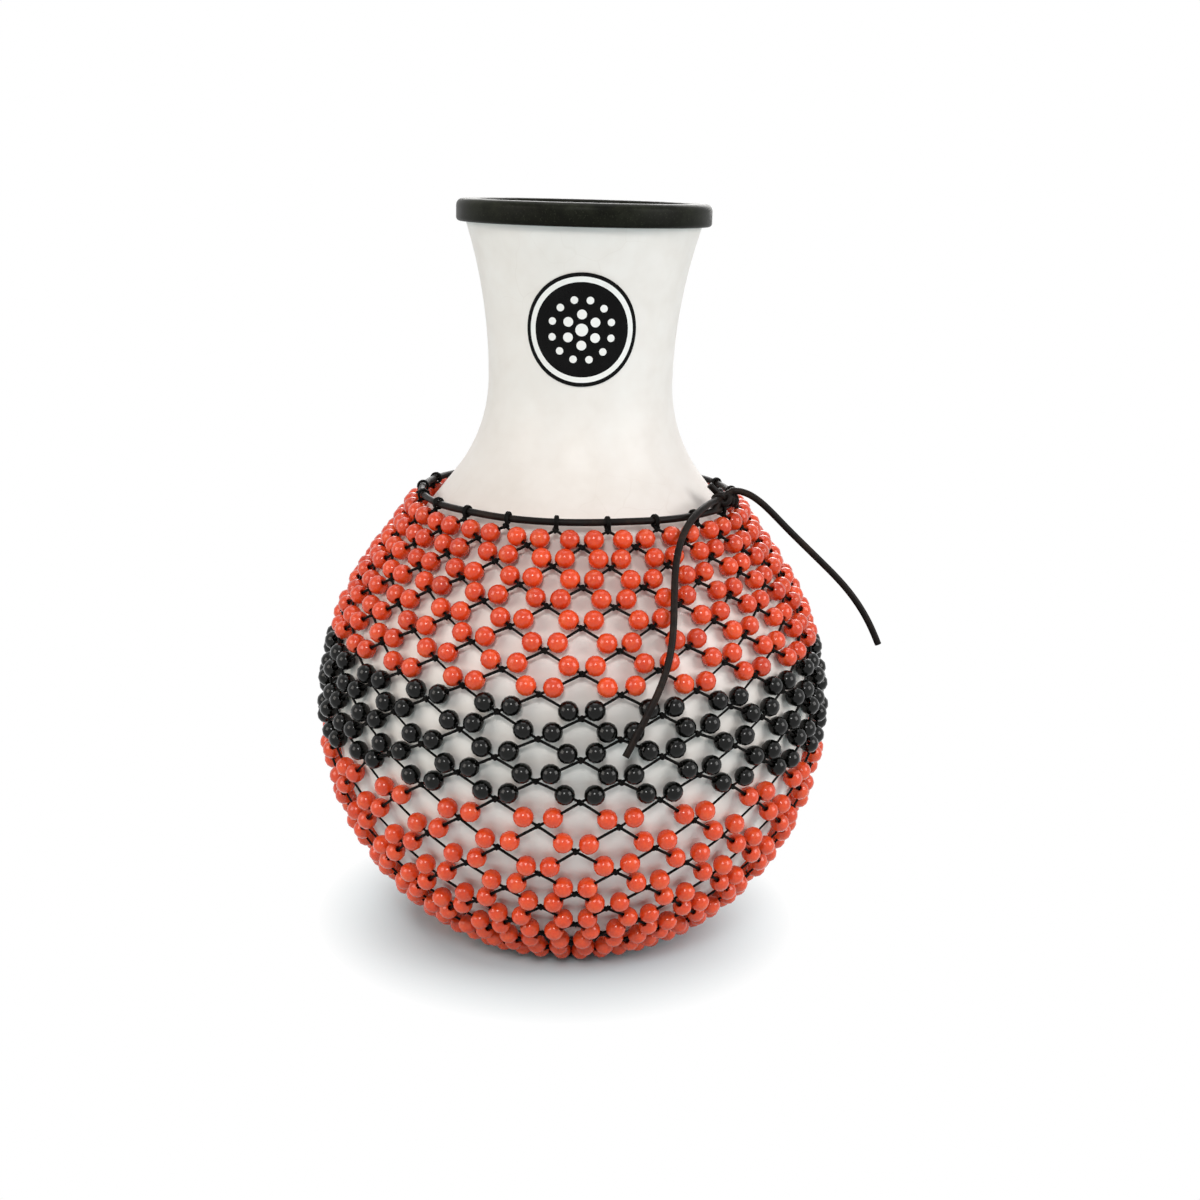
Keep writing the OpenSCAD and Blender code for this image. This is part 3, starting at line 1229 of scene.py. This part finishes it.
@dataclass
class BeadSeat:
    """Where a bead sits, which way its cord runs, how large it is and its room among the rest."""

    centre: Vector
    axis: Vector
    radius: float
    room: float = math.inf

    @property
    def turn(self) -> float:
        """The bead's azimuth round the gourd."""
        return math.atan2(self.centre.y, self.centre.x)

    @property
    def leans_on(self) -> bool:
        """Whether the cord leans towards greater azimuth as it rises."""
        return self.axis.dot(UP.cross(self.centre)) > 0


def read_bead(points: np.ndarray, triangles: np.ndarray) -> BeadSeat:
    """Fits a bored ball to one island of a CAD node.

    Args:
        points: the node's vertices.
        triangles: the island's triangles.

    Returns:
        The bead's seat.
    """
    own = points[np.unique(triangles)]
    middle = own.mean(axis=0)
    local = own - middle
    system = np.hstack([2 * local, np.ones((len(local), 1))])
    answer = np.linalg.lstsq(system, (local ** 2).sum(axis=1), rcond=None)[0]
    centre = answer[:3]
    radius = math.sqrt(answer[3] + centre @ centre)
    a, b, c = (points[triangles[:, k]] - middle for k in range(3))
    normals = np.cross(b - a, c - a)
    outward = ((a + b + c) / 3 - centre)
    bore = normals[(normals * outward).sum(axis=1) < 0]
    axis = np.linalg.eigh(bore.T @ bore)[1][:, 0]
    if axis[2] < 0:
        axis = -axis
    return BeadSeat(Vector(centre + middle), Vector(axis), radius)


def read_bead_row(node: str) -> list[BeadSeat]:
    """Reads a row of beads from its CAD node, in order round the gourd.

    Args:
        node: the node's name.

    Returns:
        The seats, the first one a bead that hangs left of its knot.
    """
    points, triangles = welded(node)
    labels = island_labels(triangles, len(points))[triangles[:, 0]]
    beads = [read_bead(points, triangles[labels == one]) for one in np.unique(labels)]
    beads.sort(key=lambda bead: bead.turn)
    if beads[0].leans_on:
        beads.append(beads.pop(0))
    return beads


def meeting(first: BeadSeat, second: BeadSeat) -> Vector:
    """The point where the cords of two beads cross, which is their knot.

    Args:
        first: a bead.
        second: its neighbour on the other strand.

    Returns:
        The point.
    """
    across = first.centre - second.centre
    slant = first.axis.dot(second.axis)
    even = 1 - slant * slant
    a, b = first.axis.dot(across), second.axis.dot(across)
    on_first = first.centre + first.axis * ((slant * b - a) / even)
    on_second = second.centre + second.axis * ((b - slant * a) / even)
    return (on_first + on_second) / 2


@dataclass
class NetRow:
    """A row of the net: its beads, the knots under them and the strands between."""

    number: int
    beads: list[BeadSeat]
    knots: list[Vector] = field(default_factory=list)

    def __post_init__(self) -> None:
        """Finds each knot where the cords of its two beads cross."""
        self.knots = [meeting(*pair) for pair in zip(self.beads[::2], self.beads[1::2])]

    def knots_above(self) -> list[Vector]:
        """The knots of the row above, each where the cords of neighbours cross.

        Returns:
            Their places.
        """
        rights = self.beads[1::2]
        lefts = self.beads[2::2] + self.beads[:1]
        return [meeting(*pair) for pair in zip(rights, lefts)]


@dataclass
class BeadNet:
    """The whole net: rows of beads on knotted twine."""

    segments: int = 12
    rings: int = 7
    lip_r: float = 1.25 * MM
    lip_sink: float = 0.04 * MM
    twine_d: float = 1.2 * MM
    knot_size: float = 0.364 * MM
    knot_depth: float = -1.6
    knot_d: float = 1.104 * MM
    knot_steps: int = 20
    centre_z: float = 105 * MM
    strand_bend: float = 0.15
    strand_shares: Pair = (0.35, 0.7)
    bead_sizes: Pair = (1.05, 1.08)
    bead_gap: float = 0.05 * MM
    bead_slide: Pair = (-0.3, 0.8)
    bead_tone: Pair = (0.72, 0.16)
    # How far a bead's share of the lighter colour strays from its row's share.
    row_tint_spread: float = 0.1
    seed: int = 7
    rows: list[NetRow] = field(default_factory=list)

    def __post_init__(self) -> None:
        """Reads every row of beads from the frame, measures each bead's room and ties a knot."""
        names = sorted(name for name in frame["nodes"] if name.startswith("beads_row_"))
        self.rows = [NetRow(int(name[-2:]), read_bead_row(name)) for name in names]
        seats = [bead for row in self.rows for bead in row.beads]
        places = np.array([tuple(bead.centre) for bead in seats])
        apart = np.linalg.norm(places[:, None] - places[None], axis=2)
        np.fill_diagonal(apart, np.inf)
        for bead, nearest in zip(seats, apart.min(axis=1)):
            bead.room = float(nearest) / 2
        self.dice = random.Random(self.seed)
        self.top_knots = self.rows[0].knots_above()
        self.twine = NET_TWINE.build()
        line = [point * self.knot_size for point in overhand(self.knot_steps, self.knot_depth)]
        self.knot = tube("knot_template", [line], self.knot_d, 0, closed=True)

    def bead_template(self, radius: float) -> Piece:
        """Shapes one bead from a ball: opens its poles, turns in a lip and bores it through.

        Args:
            radius: the bead's radius.

        Returns:
            The template, with its hole along Z and a lip attribute, which marks the lip and the bore
            for painted shade.
        """
        bpy.ops.object.select_all(action="DESELECT")
        bpy.ops.mesh.primitive_uv_sphere_add(segments=self.segments, ring_count=self.rings,
                                             radius=radius)
        bead = bpy.context.object
        open_r = radius * math.sin(math.pi / self.rings)
        open_z = radius * math.cos(math.pi / self.rings)
        lip_z = math.sqrt(radius ** 2 - self.lip_r ** 2) - self.lip_sink
        share = self.lip_r / open_r
        with editing():
            choose(bead, "VERT", lambda place: from_axis(place) < WELD)
            bpy.ops.mesh.delete(type="VERT")
            for end in (1, -1):
                choose(bead, "EDGE", lambda place: end * place.z > open_z - WELD)
                bpy.ops.mesh.extrude_edges_move()
                bpy.ops.transform.resize(value=(share, share, 1), center_override=(0, 0, end * open_z))
                bpy.ops.transform.translate(value=(0, 0, end * (lip_z - open_z)))
            choose(bead, "EDGE", lambda place: from_axis(place) < self.lip_r + WELD)
            bpy.ops.mesh.bridge_edge_loops()
            close_up()
        bpy.ops.object.shade_smooth()
        tag(bead, "lip", [float(from_axis(v.co) < self.lip_r + WELD) for v in bead.data.vertices])
        return bead

    def build_beads(self) -> None:
        """Threads a bead on every seat, a piece for each row."""
        dark = {part["node"] for part in frame["record"]["subparts"]
                if part["material_slot"] == Slot.BLACK.value}
        finishes = {Slot.ORANGE: ORANGE_BEAD.build(), Slot.BLACK: BLACK_BEAD.build()}
        template = self.bead_template(self.rows[0].beads[0].radius)
        for row in self.rows:
            node = f"beads_row_{row.number:02d}"
            slot = Slot.BLACK if node in dark else Slot.ORANGE
            # Share of the lighter colour: 0 in the top row, 1 in the bottom one.
            fade = (row.number - 1) / (len(self.rows) - 1)
            beads = [self.thread_bead(template, bead, fade) for bead in row.beads]
            piece = join(f"beads_{row.number:02d}", beads)
            seat(piece, Body.NET, slot, node, finishes[slot])
        bpy.data.meshes.remove(template.data)

    def thread_bead(self, template: Piece, bead: BeadSeat, fade: float) -> Piece:
        """Copies the template to one seat, with a spin, a size, a slide and a tone of its own.

        Args:
            template: the bead to copy.
            bead: the seat.
            fade: its row's share of the lighter colour, which grows towards the bottom.

        Returns:
            The bead.
        """
        spin = Matrix.Rotation(self.dice.uniform(0, math.tau), 4, "Z")
        share = min(self.dice.uniform(*self.bead_sizes), (bead.room - self.bead_gap) / bead.radius)
        slide = self.dice.uniform(*self.bead_slide) * (bead.room - share * bead.radius)
        size = Matrix.Diagonal((share, share, share, 1.0))
        turned = bead.axis.to_track_quat("Z", "Y").to_matrix().to_4x4()
        moved = Matrix.Translation(bead.centre + bead.axis * slide)
        copy = stamp(template, moved @ turned @ spin @ size)
        tag(copy, "tone", min(1.0, max(0.0, self.dice.gauss(*self.bead_tone))))
        tag(copy, "fade", min(1.0, max(0.0, fade + self.dice.gauss(0.0, self.row_tint_spread))))
        return copy

    def build_twine(self) -> None:
        """Runs the strands between the knots and ties the knots, a piece for each row."""
        above = self.top_knots
        for row in self.rows:
            strands = []
            for index, bead in enumerate(row.beads):
                high = min(above, key=lambda knot: off_line(knot, bead))
                strands.append(self.strand_route(row.knots[index // 2], high))
            lines = tube("strands", strands, self.twine_d, 0)
            piece = join(f"net_twine_{row.number:02d}", [lines, *self.tie(row.knots)])
            seat(piece, Body.NET, Slot.TWINE, f"net_cord_row_{row.number:02d}", self.twine)
            above = row.knots

    def strand_route(self, low: Vector, high: Vector) -> list[Vector]:
        """A strand from knot to knot, with the slightest bend of its own.

        Args:
            low: the knot that it rises from.
            high: the knot that it ends at.

        Returns:
            The strand's points.
        """
        run = high - low
        bend = self.dice.uniform(-self.strand_bend, self.strand_bend)
        side = run.cross(low).normalized() * bend * MM
        return [low, *(low + run * share + side for share in self.strand_shares), high]

    def tie(self, knots: Sequence[Vector]) -> list[Piece]:
        """Ties a knot at each place, facing outwards, with a turn of its own.

        Args:
            knots: the places.

        Returns:
            The knots.
        """
        tied = []
        for knot in knots:
            outward = Vector((knot.x, knot.y, knot.z - self.centre_z)).normalized()
            turn = Matrix.Rotation(self.dice.uniform(0, math.tau), 4, "Z")
            face = outward.to_track_quat("Z", "Y").to_matrix().to_4x4()
            tied.append(stamp(self.knot, Matrix.Translation(knot) @ face @ turn))
        return tied


def off_line(point: Vector, bead: BeadSeat) -> float:
    """How far a point over a bead lies from the line of the bead's cord.

    Args:
        point: the point.
        bead: the bead.

    Returns:
        The distance, or infinity for a point below the bead.
    """
    gap = point - bead.centre
    along = gap.dot(bead.axis)
    return (gap - along * bead.axis).length if along > 0 else math.inf


# The cords that gather the net

@dataclass
class RingCord:
    """A ring of cord read from a CAD node that holds one."""

    node: str
    thickness: float
    gap: float = 0.1 * MM
    waves: int = 5
    wave_counts: tuple[int, int] = (3, 11)
    wave_sizes: Pair = (0.3, 1.0)
    hitch_steps: int = 26
    hitch_start: float = math.radians(25)
    hitch_sweep: float = math.radians(670)
    hitch_spread: float = 1.1
    hitch_foot: float = 0.45
    radius: float = 0.0
    z: float = 0.0

    def __post_init__(self) -> None:
        """Takes the ring's size and height from the frame."""
        low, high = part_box(self.node)
        self.radius = (high.x - low.x) / 2 - self.thickness / 2
        self.z = (high.z + low.z) / 2

    def at(self, turn: float) -> Vector:
        """The ring's centreline at an azimuth."""
        return Vector((self.radius * math.cos(turn), self.radius * math.sin(turn), self.z))

    def route(self, count: int, wobble: float, seed: int) -> list[Vector]:
        """The ring's line with the small unevenness of a real cord.

        Args:
            count: how many points.
            wobble: how far it strays.
            seed: which strayings.

        Returns:
            The points.
        """
        dice = random.Random(seed)
        waves = [(dice.randint(*self.wave_counts), dice.uniform(0, math.tau),
                  dice.uniform(*self.wave_sizes)) for _ in range(self.waves)]
        points = []
        for k in range(count):
            turn = math.tau * k / count
            stray = sum(size * math.sin(n * turn + phase) for n, phase, size in waves)
            drop = sum(size * math.cos(n * turn + 2 * phase) for n, phase, size in waves)
            points.append(self.at(turn) + compass(turn) * stray * wobble / 3 + UP * drop * wobble / 3)
        return points

    def hitch(self, knot: Vector, twine_d: float) -> list[Vector]:
        """Two turns of twine round the ring that come from a knot and go back to it.

        Args:
            knot: the knot that they hang from or hold.
            twine_d: thickness of the twine.

        Returns:
            The route of the turns.
        """
        turn = math.atan2(knot.y, knot.x)
        centre = self.at(turn)
        along = Vector((-math.sin(turn), math.cos(turn), 0.0))
        down = (knot - centre).normalized()
        out = along.cross(down)
        reach = self.thickness / 2 + self.gap + twine_d / 2
        points = [knot + along * (-self.hitch_foot * twine_d)]
        for k in range(self.hitch_steps + 1):
            share = k / self.hitch_steps
            angle = self.hitch_start + share * self.hitch_sweep
            side = (share - 0.5) * self.hitch_spread * twine_d
            points.append(centre + reach * (math.cos(angle) * down + math.sin(angle) * out)
                          + along * side)
        return points + [knot + along * (self.hitch_foot * twine_d)]


@dataclass
class Drawstring:
    """The lace round the shoulder: its collar, its knot and its two loose tails."""

    lace_d: float = 3 * MM
    collar_points: int = 168
    collar_wobble: float = 0.25 * MM
    collar_seed: int = 5
    bevel: int = 3
    knot_turn: float = math.radians(-27)
    lump_at: Vector = field(default_factory=lambda: mm((61.5, -32.5, 206.8)))
    lump_size: float = 1.1 * MM
    lump_steps: int = 72
    lump_depth: float = -1.5
    lump_lean: float = 0.4
    lump_tight: float = 0.95
    hitch_tight: float = 0.85
    end_tight: float = 0.97
    end_share: float = 0.6
    end_lap: float = 0.1
    rise_h: float = 0.8
    end_rounds: int = 6
    tail_rounds: int = 4
    side_lump_at: Vector = field(default_factory=lambda: mm((66, -29, 205.3)))
    hitch_r: float = 2 * MM
    hitch_l: float = 3.4 * MM
    hitch_turns: float = 1.6
    hitch_steps: int = 36
    rise_turn: float = math.radians(8)
    cut_end: Vector = field(default_factory=lambda: mm((-5.5, -1.5, 5.5)))
    ease_rounds: int = 3
    left_length: float = 134 * MM
    right_length: float = 97 * MM
    left_route: tuple[Place, ...] = (
        (59, -37.5, 206.5), (57.5, -40.5, 206.5), (53.5, -48.5, 206.5), (48.5, -56.5, 204.5),
        (45.5, -62, 201.5), (42.5, -67, 197.5), (41, -72, 192.5), (40, -76.5, 187.5),
        (39.5, -81.5, 182.5), (39.5, -86, 177), (39.5, -90, 171.5), (39.5, -94, 166),
        (39, -98, 160), (38, -101.5, 154), (36.5, -104.5, 148), (33.5, -107.5, 142),
        (30.5, -110.5, 136.5), (27.5, -112.5, 130.5), (24, -114.5, 124.5), (21, -116, 118.5))
    right_route: tuple[Place, ...] = (
        (66, -31.5, 209.5), (68.5, -31.5, 210.5), (73, -32, 210), (78.5, -32.5, 206),
        (83, -33, 201), (87.5, -33, 196.5), (92, -33.5, 192), (97, -34, 188),
        (101.5, -34.5, 183.5), (106.5, -35, 179), (111, -35.5, 175), (116, -36, 170.5),
        (120, -36, 165.5), (124, -36.5, 160), (127.5, -37, 155), (130, -37, 149),
        (132, -37, 144.5))

    def build(self, net: BeadNet) -> None:
        """Lays the collar, hitches the net on it, ties the knot and lets the tails out.

        Args:
            net: the net that hangs on the collar.
        """
        lace = LACE.build()
        collar = RingCord("collar_cord", self.lace_d)
        line = collar.route(self.collar_points, self.collar_wobble, self.collar_seed)
        ring = tube("drawstring_collar", [line], self.lace_d, self.bevel, closed=True)
        seat(ring, Body.NET, Slot.STRING, "collar_cord", lace)
        turns = tube("turns", [collar.hitch(knot, net.twine_d) for knot in net.top_knots],
                     net.twine_d, 1)
        hitches = join("collar_hitches", [turns, *net.tie(net.top_knots)])
        seat(hitches, Body.NET, Slot.TWINE, "collar_loops", net.twine)
        seat(self.tie_knot(collar), Body.NET, Slot.STRING, "collar_knot", lace)
        self.let_out("left", self.left_route, self.left_length, lace)
        self.let_out("right", self.right_route, self.right_length, lace)

    def tie_knot(self, collar: RingCord) -> Piece:
        """Ties the two lumps of the knot on the collar, with the ends that come out of them.

        Args:
            collar: the ring that the knot lies on.

        Returns:
            The knot.
        """
        lean = compass(self.knot_turn) * self.lump_lean + UP
        turned = lean.normalized().to_track_quat("Z", "Y").to_matrix()
        lump = [self.lump_at + turned @ (point * self.lump_size)
                for point in overhand(self.lump_steps, self.lump_depth)]
        ends = [smooth_route(route, self.end_rounds)
                for route in (*self.end_routes(), *self.risers(collar))]
        return join("drawstring_knot", [
            tube("lump", [lump], self.lump_tight * self.lace_d, self.bevel, closed=True),
            tube("half_hitch", [self.half_hitch()], self.hitch_tight * self.lace_d, self.bevel),
            tube("ends", ends, self.end_tight * self.lace_d, self.bevel)])

    def half_hitch(self) -> list[Vector]:
        """The smaller lump beside the first: the lace wound round itself on its way out.

        Returns:
            The lace's points.
        """
        run = (self.side_lump_at - self.lump_at).normalized()
        across = run.cross(UP).normalized()
        over = across.cross(run)
        first = self.side_lump_at - run * (0.5 * self.hitch_l)
        route = []
        for k in range(self.hitch_steps + 1):
            share = k / self.hitch_steps
            angle = math.tau * self.hitch_turns * share
            ring = math.cos(angle) * over + math.sin(angle) * across
            route.append(first + run * self.hitch_l * share + ring * self.hitch_r)
        return route

    def risers(self, collar: RingCord) -> list[list[Vector]]:
        """The collar's two ends, which come up from it into the knot.

        Args:
            collar: the ring.

        Returns:
            Two routes.
        """
        routes = []
        for way in (-1, 1):
            low = collar.at(self.knot_turn + way * self.rise_turn)
            near = collar.at(self.knot_turn + way * 0.5 * self.rise_turn)
            routes.append([low, near + UP * (self.rise_h * self.lace_d), self.lump_at])
        return routes

    def end_routes(self) -> list[list[Vector]]:
        """The lace inside the knot: out to each tail, and the short cut end that sticks up.

        Returns:
            Three routes.
        """
        starts = [map(mm, route[:2]) for route in (self.left_route, self.right_route)]
        routes = [[self.lump_at, self.lump_at.lerp(first, self.end_share), first,
                   first.lerp(second, self.end_lap)] for first, second in starts]
        return routes + [[self.lump_at, self.lump_at + self.cut_end * self.end_share,
                          self.lump_at + self.cut_end]]

    def let_out(self, side: str, route: Sequence[Place], length: float,
                lace: Material) -> None:
        """Args:
            side: left or right.
            route: its points in millimetres, from the knot outwards.
            length: its real length; not used.
            lace: its material.
        """
        points = eased([mm(place) for place in route], self.ease_rounds)
        line = smooth_route(points, self.tail_rounds)
        tail = tube(f"tail_{side}", [line], self.lace_d, self.bevel)
        seat(tail, Body.NET, Slot.STRING, f"drawstring_tail_{side}", lace)
        tuple(points[0])
        [tuple(point) for point in line]


@dataclass
class NetBase:
    """The ring of cord that gathers the net's bottom, and the net's hitches on it."""

    cord_d: float = 2 * MM
    points: int = 126
    wobble: float = 0.1 * MM
    seed: int = 9

    def build(self, net: BeadNet) -> None:
        """Lays the ring and hitches the lowest knots to it.

        Args:
            net: the net that it gathers.
        """
        ring = RingCord("base_cord", self.cord_d)
        line = ring.route(self.points, self.wobble, self.seed)
        loop = tube("base_ring", [line], self.cord_d, 2, closed=True)
        seat(loop, Body.NET, Slot.TWINE, "base_cord", BASE_TWINE.build())
        routes = [ring.hitch(knot, net.twine_d) for knot in net.rows[-1].knots]
        turns = tube("base_hitches", routes, net.twine_d, 1)
        seat(turns, Body.NET, Slot.TWINE, "base_loops", net.twine)


# The studio

@dataclass(frozen=True)
class Softbox:
    """One large soft lamp, aimed at the gourd."""

    name: str
    place: Place
    size: float
    watts: float
    colour: Colour


@dataclass
class Studio:
    """A white floor and sky, soft lamps and the camera of the photograph."""

    target: Vector = field(default_factory=lambda: Vector((0.0, 0.0, 0.15)))
    floor_half: float = 4.0
    # The floor's painted shadow: the floor sits a little to the left, is a darker blue-grey near the
    # gourd and fades to white between these distances from its centre.
    painted_shadow_centre: Place = (-0.006, 0.0, 0.0)
    shaded_floor_colour: Colour = (0.63, 0.79, 0.84, 1.0)
    painted_shadow_fade: Pair = (0.066, 0.112)
    floor_rough: float = 0.9
    floor_specular: float = 0.1
    sky: float = 0.16
    camera_at: Place = (0.0, -0.7243, 0.3386)
    camera_down: float = 0.2523
    camera_yaw: float = 0.0154
    camera_roll: float = 0.027
    sensor: float = 36.0
    focal_pixels: float = 1645.8
    frame_pixels: float = 1200.0
    lamps: tuple[Softbox, ...] = (
        Softbox("key", (-0.1, -1.3, 1.1), 0.34, 8.4, (1.0, 0.99, 0.985, 1.0)),
        Softbox("left", (-1.35, -0.7, 0.8), 0.9, 11.5, (1.0, 0.935, 0.87, 1.0)),
        Softbox("right", (1.35, -0.6, 0.8), 0.9, 15.0, (1.0, 0.975, 0.965, 1.0)),
        Softbox("top", (0.0, 0.2, 1.6), 1.0, 6.5, (0.98, 0.99, 1.0, 1.0)),
        Softbox("back", (0.15, 1.4, 0.75), 1.0, 11.0, (1.0, 0.985, 0.97, 1.0)),
    )

    def build(self) -> None:
        """Sets up the floor, the sky, the lamps, the camera and the view transform."""
        self.build_camera()
        self.build_floor()
        self.build_sky()
        for lamp in self.lamps:
            self.hang(lamp)
        bpy.context.scene.view_settings.view_transform = "Standard"

    def build_camera(self) -> None:
        """Stands the camera where the photograph was taken from."""
        data = bpy.data.cameras.new("camera")
        data.sensor_width = self.sensor
        data.lens = self.focal_pixels / self.frame_pixels * self.sensor
        camera = put("camera", data)
        turned = (Matrix.Rotation(self.camera_roll, 3, "Y") @ Matrix.Rotation(self.camera_down, 3, "X")
                  @ Matrix.Rotation(self.camera_yaw, 3, "Z"))
        right, ahead, up = turned
        camera.matrix_world = Matrix.Translation(self.camera_at) @ Matrix(
            (right, up, -ahead)).transposed().to_4x4()
        bpy.context.scene.camera = camera

    def build_floor(self) -> None:
        """Lays a floor that keeps the real shadow near the gourd and fades to white further out; near
        the gourd its colour is a darker blue-grey, a painted shadow that deepens the real one and tints
        it blue, centred a little left of the gourd.
        """
        bpy.ops.object.select_all(action="DESELECT")
        bpy.ops.mesh.primitive_plane_add(size=2 * self.floor_half, location=self.painted_shadow_centre)
        floor = bpy.context.object
        floor.name = "floor"
        material, graph, shader = start_material("floor with painted shadow")
        where = graph.add("TexCoord").outputs["Object"]
        for name, value in (("Base Color", self.shaded_floor_colour), ("Roughness", self.floor_rough),
                            ("Specular IOR Level", self.floor_specular)):
            shader.inputs[name].default_value = value
        out = graph.add("VectorMath", {0: where}, operation="LENGTH").outputs[1]
        # Beyond the painted shadow, camera and glossy rays see white.
        pale = graph.times(graph.between(out, *self.painted_shadow_fade), self.seen_rays(graph))
        white = graph.add("Emission", {"Color": (1.0, 1.0, 1.0, 1.0), "Strength": 1.0}).outputs[0]
        blend = graph.add("MixShader", {0: pale, 1: shader.outputs[0], 2: white}).outputs[0]
        graph.feed(material.node_tree.nodes["Material Output"].inputs["Surface"], blend)
        dress(floor, material)

    def seen_rays(self, graph: Graph) -> Socket:
        """Finds the rays that show the background: camera, glossy and transmission rays.

        Args:
            graph: the graph that asks.

        Returns:
            1 for those rays and 0 for the rest.
        """
        path = graph.add("LightPath").outputs
        either = graph.calc("MAXIMUM", path["Is Camera Ray"], path["Is Glossy Ray"])
        return graph.calc("MAXIMUM", either, path["Is Transmission Ray"])

    def build_sky(self) -> None:
        """Makes the sky white where it is seen and softer where it lights."""
        world = bpy.context.scene.world or bpy.data.worlds.new("sky")
        bpy.context.scene.world = world
        world.use_nodes = True
        graph = Graph(world.node_tree)
        back = world.node_tree.nodes["Background"]
        back.inputs["Color"].default_value = (1.0, 1.0, 1.0, 1.0)
        graph.feed(back.inputs["Strength"],
                   graph.between(self.seen_rays(graph), 0.0, 1.0, self.sky, 1.0))

    def hang(self, lamp: Softbox) -> None:
        """Hangs one softbox and aims it at the gourd.

        Args:
            lamp: the softbox.
        """
        data = bpy.data.lights.new(lamp.name, "AREA")
        data.shape = "SQUARE"
        data.size = lamp.size
        data.energy = lamp.watts
        data.color = lamp.colour[:3]
        made = put(lamp.name, data)
        made.location = lamp.place
        made.rotation_euler = (Vector(lamp.place) - self.target).to_track_quat("Z", "Y").to_euler()


def main() -> None:
    """Builds the shekere and its studio, in order."""
    logging.basicConfig(level=logging.INFO, format="%(name)s: %(message)s")
    Studio().build()
    net = BeadNet()
    net.build_twine()
    Drawstring().build(net)
    NetBase().build(net)
    bpy.data.meshes.remove(net.knot.data)
    net.build_beads()
    gourd = Gourd()
    gourd.build()
    RimTrim().build(gourd)
    NeckBadge().build(gourd)


if __name__ == "__main__":
    main()
